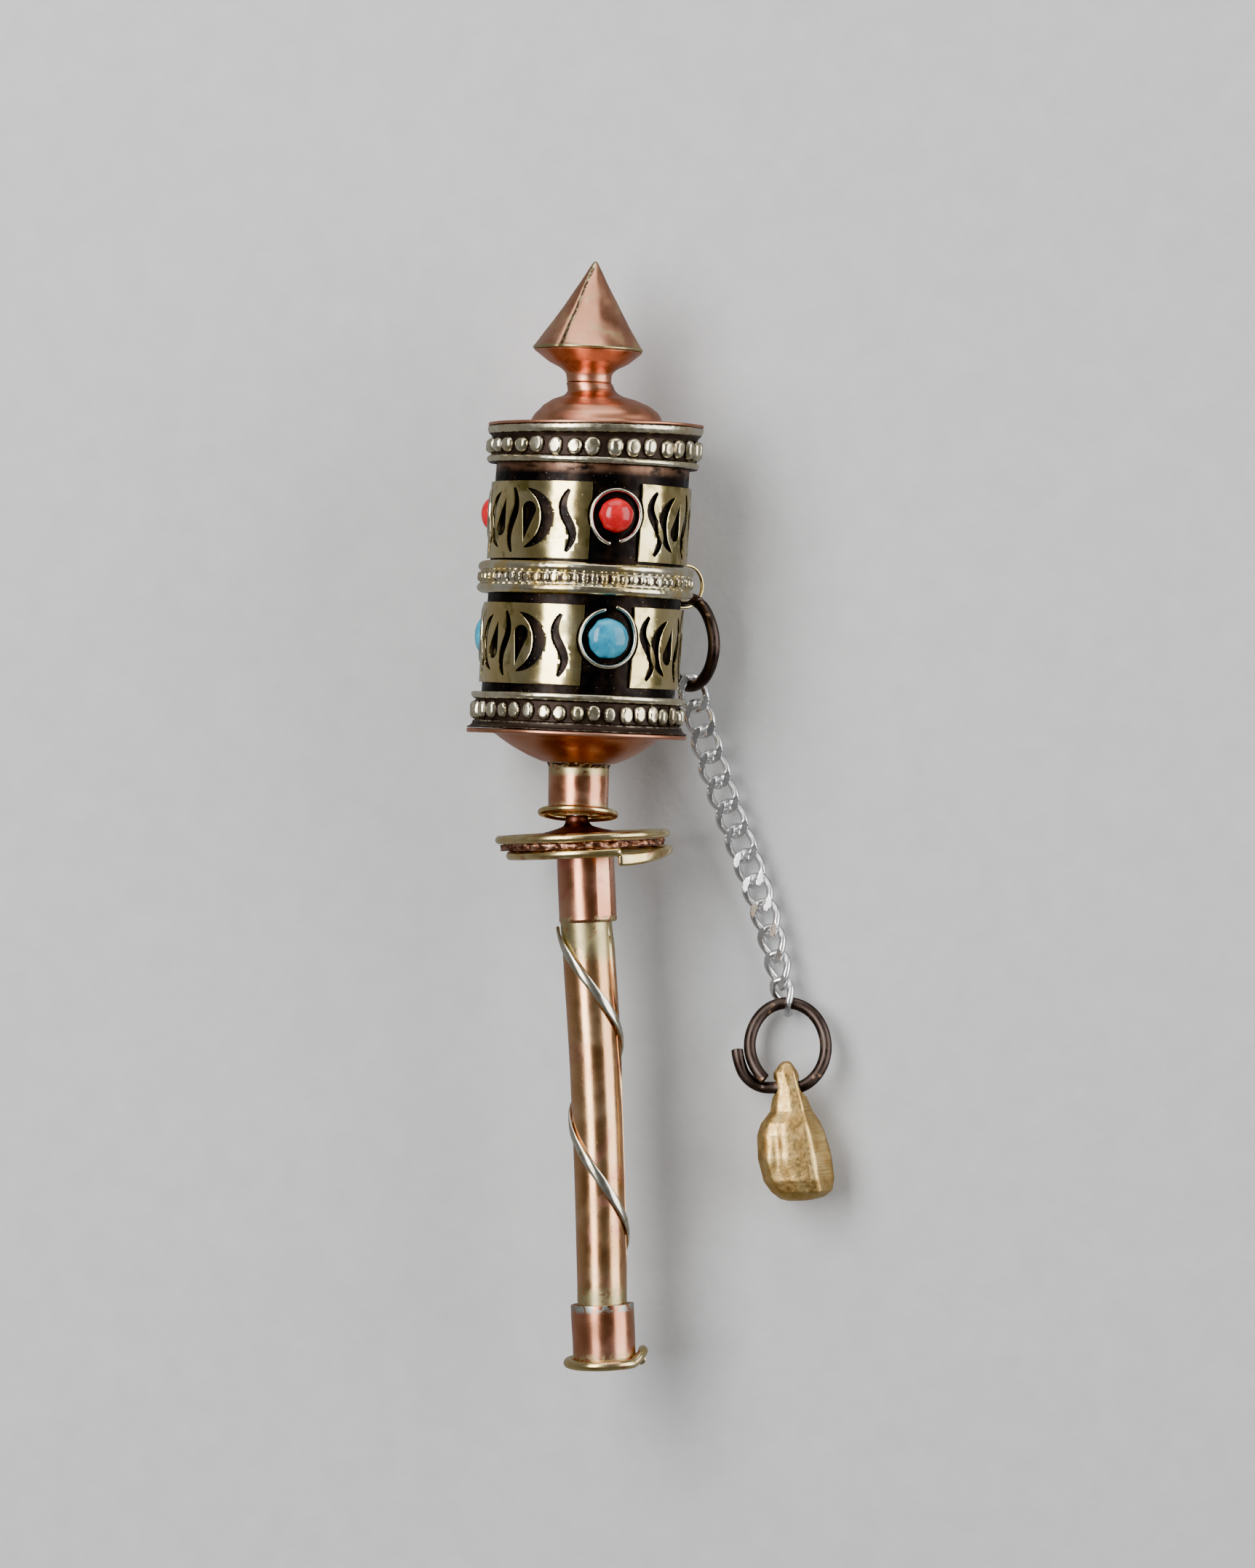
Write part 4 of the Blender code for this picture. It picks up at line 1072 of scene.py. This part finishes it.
def stone(kind, number, finish, seed):
    """A bead set in the wall, a little rough round its foot."""
    place = STONE[kind]
    r, rise, edge = place["radius"], place["rise"], 0.4
    profile = [(r * math.sin(t), edge + (rise - edge) * math.cos(t))
               for t in turns(0, 90, 14)]

    def chipped(radius, height, azimuth, points):
        foot = ease(1 - height / rise)
        chips = 0.03 * ripple(points, 1.6, seed) + foot * 0.2 * ripple(points, 1.0, seed + 1)
        return radius + chips * np.clip(radius, 0, 1), height

    middle = Vector((sideways(place["height"]), 0, 0)) * MM
    out = Vector((0, -place["wall"], place["height"])) * MM
    laid = (DRUM @ Matrix.Translation(middle) @ Matrix.Rotation(azimuth_of(number), 4, "Z")
            @ Matrix.Translation(out) @ Matrix.Rotation(math.pi / 2, 4, "X"))
    mesh = lathe([*profile, (r, 0), (0, 0)], laid, 64, 0.05, 0.3, False, chipped)
    show(f"{kind}_{number}", mesh, finish)


def bezel(name, kind, opening, seed):
    """An open wire collar round a stone, hammered down, with its ends flared."""
    place = STONE[kind]
    share = np.linspace(0, 1, 100)
    flare = 0.55 * ease(share * 5 - 4) + 0.1 * ease(1 - share * 5)
    side, rise = circle(place["bezel"] + flare, np.radians(opening + 11 + 338 * share)).T
    reach = place["wall"] + 0.38
    azimuth = side / reach + azimuth_of(int(name[-1]))
    path = around(reach + 0 * side, rise + place["height"], azimuth)
    path += 0.05 * ripple(path, 2.0, seed)[:, None]
    section = round_section(0.35, 14) * np.array([1.25, 0.95])
    show(name, sweep(path, around(1 + 0 * side, 0 * side, azimuth), section, DRUM), white_wire)


def azimuth_of(number):
    """The drum's stones stand a third of a turn apart."""
    return STONE_AZIMUTH + (number - 1) * THIRD


def stone_places():
    """Where the stones sit, read from their CAD solids."""
    places = {}
    for kind, bezel_r in (("coral", 3.95), ("turquoise", 4.4)):
        points = local_points(f"{kind}_1", DRUM)
        middle = (points.min(0) + points.max(0)) / 2
        azimuth = math.atan2(middle[0], -middle[1])
        along = points @ np.array([math.sin(azimuth), -math.cos(azimuth), 0])
        half = (points[:, 2].max() - points[:, 2].min()) / 2
        places[kind] = {"height": middle[2], "azimuth": azimuth, "wall": along.min(),
                        "rise": along.max() - along.min(), "radius": half, "bezel": bezel_r}
    return places


STONE = stone_places()
STONE_AZIMUTH = STONE["coral"]["azimuth"]
PLAQUE_SPAN = math.radians(90.5)


def ornaments():
    for i in (1, 2, 3):
        plaque(f"plaque_upper_{i}", 0.008 * (i - 2))
        plaque(f"plaque_lower_{i}", -0.006 * (i - 2))
        stone("coral", i, coral, 80 + i)
        stone("turquoise", i, turquoise, 85 + i)
        bezel(f"bezel_upper_{i}", "coral", 270, 90 + i)
        bezel(f"bezel_lower_{i}", "turquoise", 90, 95 + i)


def eyelet():
    """A brass wire staple over the middle band."""
    bend_r, wire_r = 3.3, 0.31
    inside = span("drum_wall", DRUM)[1] + 0.1
    reach, height = math.hypot(EYELET_CENTRE.x, EYELET_CENTRE.y), EYELET_CENTRE.z
    flat = refine(np.concatenate([
        [(inside, height + bend_r)], arc((reach, height), bend_r, 90, -90, 40),
        [(inside, height - bend_r)]]), 0.4, False)
    path = around(flat[:, 0], flat[:, 1], np.full(len(flat), EYELET_AZIMUTH))
    side = (math.cos(EYELET_AZIMUTH), math.sin(EYELET_AZIMUTH), 0)
    show("eyelet", sweep(path, side, round_section(wire_r, 14), DRUM), brass)


# ---- chain
def oval(half_width, half_height, degrees, out=0.0):
    """An upright oval in the XZ plane, moved outward by an amount along it."""
    turn = np.radians(degrees)
    return np.stack([(half_width + out) * np.cos(turn), 0 * turn,
                     (half_height + out) * np.sin(turn)], -1)


RING_WIRE_R = 0.95


def upper_ring():
    facing = Matrix.Rotation(EYELET_AZIMUTH, 4, "Z")
    points = local_points("upper_ring", facing)
    middle = (points.min(0) + points.max(0)) / 2
    half = (points.max(0) - points.min(0)) / 2 - RING_WIRE_R
    path = oval(half[0], half[2], np.linspace(118, -236, 170))
    path += 0.05 * ripple(path, 4.0, 101)[:, None]
    place = facing @ Matrix.Translation(Vector(middle) * MM)
    show("upper_ring", sweep(path, (0, 1, 0), round_section(RING_WIRE_R), place), oxidised)


def link_path(half_width, half_length):
    """A curb link's centre line: an oval, twisted a quarter turn end to end."""
    turn = np.linspace(0, math.tau, 96, endpoint=False)
    along = half_length * np.cos(turn)
    side = half_width * np.sign(np.sin(turn)) * np.abs(np.sin(turn)) ** 0.7
    twist = math.radians(45) * along / half_length
    return np.stack([side * np.cos(twist), side * np.sin(twist), along], -1)


def links():
    """Curb links, each pressed flat on its two broad sides."""
    wire_r, face = 0.575, 1.0
    path = link_path(1.95, 2.745)

    def pressed(rings):
        rings[:, :, 1] = np.clip(rings[:, :, 1], -face, face)
        return rings

    for n in range(1, 14):
        name = f"link_{n:02d}"
        mesh = sweep(path, path, round_section(wire_r), own_frame(name), True, pressed, 28)
        show(name, mesh, silver)


def lower_ring():
    """An oval ring; its end passes behind its start and stands out at the left."""
    axis = own_frame("lower_ring").to_3x3().col[1]
    if axis.y < 0:
        axis = -axis
    tilt = Matrix.Rotation(math.atan2(axis.z, axis.y), 4, "X")
    half = (6.0, 6.95)
    centre = HOOK + tilt @ Vector((0, 0, half[1] * MM))
    start, leaves, end = 229, -104, -178
    degrees = np.linspace(start, end, 220)
    past = leaves - degrees
    spread, behind, in_front = 2 * RING_WIRE_R + 0.12, 1.5, 0.45
    path = oval(*half, degrees, spread * ease(past / 54))
    path[:, 1] += behind * ease(past / 26) * ease((degrees - end) / 50)
    path[:, 1] -= in_front * ease((degrees - 180) / 50)
    path += (0.06 * ripple(path, 4.0, 103) * np.abs(np.cos(np.radians(degrees))))[:, None]
    place = Matrix.Translation(centre) @ tilt
    show("lower_ring", sweep(path, (0, 1, 0), round_section(RING_WIRE_R), place), oxidised)


# ---- weight
# Seen from the front, the drop's sides and the two edges of its ridge, and how thick it
# is, at levels above or below the middle of its hole.
LEVELS = [4.4, 4.0, 2.7, 0.0, -3.3, -5.2, -7.0, -10.7, -14.3, -16.2, -17.2, -17.6]
WEIGHT = {
    "left": [-0.9, -1.5, -2.5, -2.6, -3.3, -4.9, -5.6, -5.6, -4.9, -3.6, -2.4, -1.2],
    "ridge_left": [-0.5, -0.9, -1.0, -0.3, -0.1, -1.0, -1.3, -1.0, 0.2, 0.9, 1.0, 0.6],
    "ridge_right": [-0.1, 0.2, 0.7, 1.3, 1.9, 2.2, 2.6, 3.1, 3.7, 4.0, 3.4, 1.8],
    "right": [0.1, 0.6, 1.4, 2.2, 3.4, 4.6, 5.4, 6.3, 6.6, 6.2, 4.9, 2.8],
    "depth": [0.5, 1.2, 1.9, 2.3, 2.7, 3.7, 4.2, 4.5, 4.5, 4.0, 3.0, 1.6]}


def patch(points, x, z, half_width, half_height):
    """A soft-edged oval patch on the front, seen along Y."""
    return np.exp(-((points[:, :, 0] - x) / half_width) ** 2
                  - ((points[:, :, 2] - z) / half_height) ** 2) * (points[:, :, 1] < 0)


def weight():
    """A cast drop, slightly lopsided: rounded left, ridged front, filed right face."""
    rows = np.linspace(LEVELS[0], LEVELS[-1], 120)
    sides = [np.interp(-rows, [-z for z in LEVELS], values) for values in WEIGHT.values()]
    rings, filed = [], []
    for level, a, b, c, d, y in zip(rows, *sides):  # left, ridge's edges, right, thickness
        corners = [(b, -y), (c, -0.96 * y), (d, -0.05 * y), (0.75 * d, 0.75 * y),
                   (0.3 * d, y), (0.4 * a, y), (0.9 * a, 0.5 * y), (a, -0.2 * y),
                   (0.72 * a + 0.28 * b, -0.72 * y)]
        outline = soften(corners, 0.14 * y + 0.05, True, 4)
        closed = np.concatenate([outline, outline[:1]])
        run = np.concatenate([[0], np.cumsum(np.linalg.norm(np.diff(closed, axis=0), axis=1))])
        even = np.linspace(0, run[-1], 128, endpoint=False)
        ring = np.stack([np.interp(even, run, closed[:, k]) for k in (0, 1)], -1)
        rings.append(np.column_stack([ring, np.full(len(ring), level)]))
        edge = (ring[:, 0] - c) / (d - c)
        filed.append(ease(edge * 8) * (ring[:, 1] < 0.1 * y))
    rings, mark = np.array(rings), np.array(filed)
    mark *= ease((-1.0 - rings[:, :, 2]) / 3)
    outward = rings * np.array([1, 1, 0])
    outward /= np.maximum(np.linalg.norm(outward, axis=2, keepdims=True), 0.5)
    swell = 0.12 * ripple(rings, 3.2, 111) + 0.015 * ripple(rings, 0.9, 112)
    hollow, bulge = patch(rings, -2.6, -9.5, 0.7, 3.2), patch(rings, -3.6, -11.5, 0.8, 2.4)
    swell += 0.35 * bulge - 0.3 * hollow
    rings = rings + outward * (swell * (1 - mark))[:, :, None]

    hole_r, hole_length, sharp = 1.55 * MM, 14 * MM, 60
    hole = Matrix.Translation(HOOK + Vector((0, 0, 0.3 * MM)))
    drill_mesh = bpy.data.meshes.new("drill")
    drill = bmesh.new()
    bmesh.ops.create_cone(drill, cap_ends=True, segments=32, radius1=hole_r, radius2=hole_r,
                          depth=hole_length, matrix=hole @ Matrix.Rotation(math.pi / 2, 4, "Y"))
    drill.to_mesh(drill_mesh)
    drill.free()
    cutter = add_object("drill", drill_mesh)
    drilled = add_object("drilled", skin(rings, False, Matrix.Translation(HOOK), mark, sharp))
    drilled.modifiers.new("bore", "BOOLEAN").object = cutter
    bored = applied(drilled)
    bpy.data.objects.remove(cutter)
    bored.set_sharp_from_angle(angle=math.radians(sharp))
    show("weight", bored, cast_brass)


# ---- stage
CENTRE = Vector((7.34, 0.0, 91.4)) * MM     # what the camera and the lamps look at


def aim(obj, place, target, up=(0, 0, 1)):
    """Turns a lamp or camera to look from a place at a target."""
    back = (Vector(place) - Vector(target)).normalized()
    side = Vector(up).cross(back).normalized()
    turn = Matrix([side, back.cross(side), back]).transposed()
    obj.matrix_world = Matrix.Translation(place) @ turn.to_4x4()


def from_centre(azimuth, elevation, distance):
    a, e = math.radians(azimuth), math.radians(elevation)
    return CENTRE + distance * Vector((math.sin(a) * math.cos(e), -math.cos(a) * math.cos(e),
                                       math.sin(e)))


def softbox(name, azimuth, elevation, distance, width, height, power):
    data = bpy.data.lights.new(name, "AREA")
    data.shape = "RECTANGLE"
    data.size, data.size_y, data.energy = width, height, power
    aim(add_object(name, data), from_centre(azimuth, elevation, distance), CENTRE)


def world():
    """Pale to the camera; to the metal, a dim room with a lighter table behind."""
    made = bpy.data.worlds.new("studio")
    bpy.context.scene.world = made
    made.use_nodes = True
    nodes = Nodes(made.node_tree)
    facing = nodes.node("ShaderNodeTexCoord").outputs["Generated"]
    back = nodes.node("ShaderNodeSeparateXYZ", {0: facing}).outputs[1]
    share = nodes.node("ShaderNodeMapRange", {0: back, 1: -1.0}).outputs[0]
    room = nodes.ramp(share, (0.0, 0.35, 0.55, 0.8), [(v,) * 3 for v in (0.16, 0.22, 0.36, 0.45)])
    seen = nodes.node("ShaderNodeLightPath").outputs["Is Camera Ray"]
    shown = nodes.mix(seen, room, (0.62, 0.62, 0.62))
    nodes.put(nodes.tree.nodes["Background"].inputs[0], shown)


def floor_material():
    """Pale grey, faintly mottled, and clear when seen from behind."""
    made = Finish("pale_floor", None)
    made.place = made.node("ShaderNodeNewGeometry").outputs["Position"]
    tone = made.ramp(made.noise(0.004, 6.0), (0.3, 0.7), ((0.56, 0.56, 0.56), (0.60, 0.60, 0.60)))
    made.finish(tone, 0.9, 0.0, made.bumps((made.noise(0.0015, 4.0), 0.06)))
    clear = made.node("ShaderNodeBsdfTransparent").outputs[0]
    behind = made.node("ShaderNodeNewGeometry").outputs["Backfacing"]
    shown = made.node("ShaderNodeMixShader", {0: behind, 1: made.shader.outputs[0], 2: clear})
    made.put(made.tree.nodes["Material Output"].inputs[0], shown.outputs[0])
    return made.material


def rest_behind(pieces):
    """Geometry nodes that move a surface back to the rearmost point of the pieces."""
    tree = bpy.data.node_groups.new("rest_behind", "GeometryNodeTree")
    for side in ("INPUT", "OUTPUT"):
        tree.interface.new_socket("Geometry", in_out=side, socket_type="NodeSocketGeometry")
    nodes = Nodes(tree)
    start = nodes.node("NodeGroupInput").outputs[0]
    whole = nodes.node("GeometryNodeCollectionInfo", {"Collection": pieces},
                       transform_space="RELATIVE").outputs[0]
    real = nodes.node("GeometryNodeRealizeInstances", {0: whole}).outputs[0]
    far = nodes.node("GeometryNodeBoundBox", {0: real}).outputs["Max"]
    back = nodes.node("ShaderNodeSeparateXYZ", {0: far}).outputs["Y"]
    offset = nodes.node("ShaderNodeCombineXYZ", {"Y": back}).outputs[0]
    moved = nodes.node("GeometryNodeSetPosition", {"Geometry": start, "Offset": offset})
    nodes.node("NodeGroupOutput", {0: moved.outputs[0]})
    return tree


def floor():
    """The surface the object lies on, always just behind the object's rearmost point."""
    half = 3.0
    mesh = bpy.data.meshes.new("floor")
    mesh.from_pydata([(x, 0, z) for x, z in ((-half, -half), (half, -half), (half, half),
                                             (-half, half))], [], [(0, 1, 2, 3)])
    mesh.materials.append(floor_material())
    surface = add_object("floor", mesh)
    surface.visible_diffuse = surface.visible_glossy = False
    surface.visible_transmission = surface.visible_shadow = False
    surface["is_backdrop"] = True
    resting = bpy.data.collections.new("resting_on_floor")
    bpy.context.scene.collection.children.link(resting)
    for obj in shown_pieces():
        resting.objects.link(obj)
    surface.modifiers.new("rest_behind", "NODES").node_group = rest_behind(resting)


def camera():
    """Looks along +Y at the photograph's angle; its frame leans with the handle."""
    data = bpy.data.cameras.new("camera")
    shown_height, distance, roll = 245.0 * MM, 1.2, math.radians(2.39)
    data.sensor_width = 36.0
    data.lens = data.sensor_width * distance / shown_height
    data.clip_start, data.clip_end = 0.05, 20.0
    obj = add_object("camera", data)
    aim(obj, from_centre(0, 0.3, distance), CENTRE, (math.sin(roll), 0, math.cos(roll)))
    bpy.context.scene.camera = obj


# ---- assembly
for build in (pommel_stone, pommel_ring, lower_ferrule, handle_tube, spiral_wire,
              upper_ferrule, guard, neck_cone, spindle, drum_base, wall_and_core, collar,
              bands, lid, finial_cone, ornaments, eyelet, upper_ring, links, lower_ring, weight):
    build()

bpy.context.scene.view_settings.view_transform = "AgX"
bpy.context.scene.view_settings.look = "AgX - Punchy"
world()
floor()
camera()
softbox("key", -32, 18, 0.9, 0.42, 0.9, 22)
softbox("second", 68, 8, 0.9, 0.7, 0.9, 14)
softbox("top", 10, 75, 0.8, 0.8, 0.5, 5)
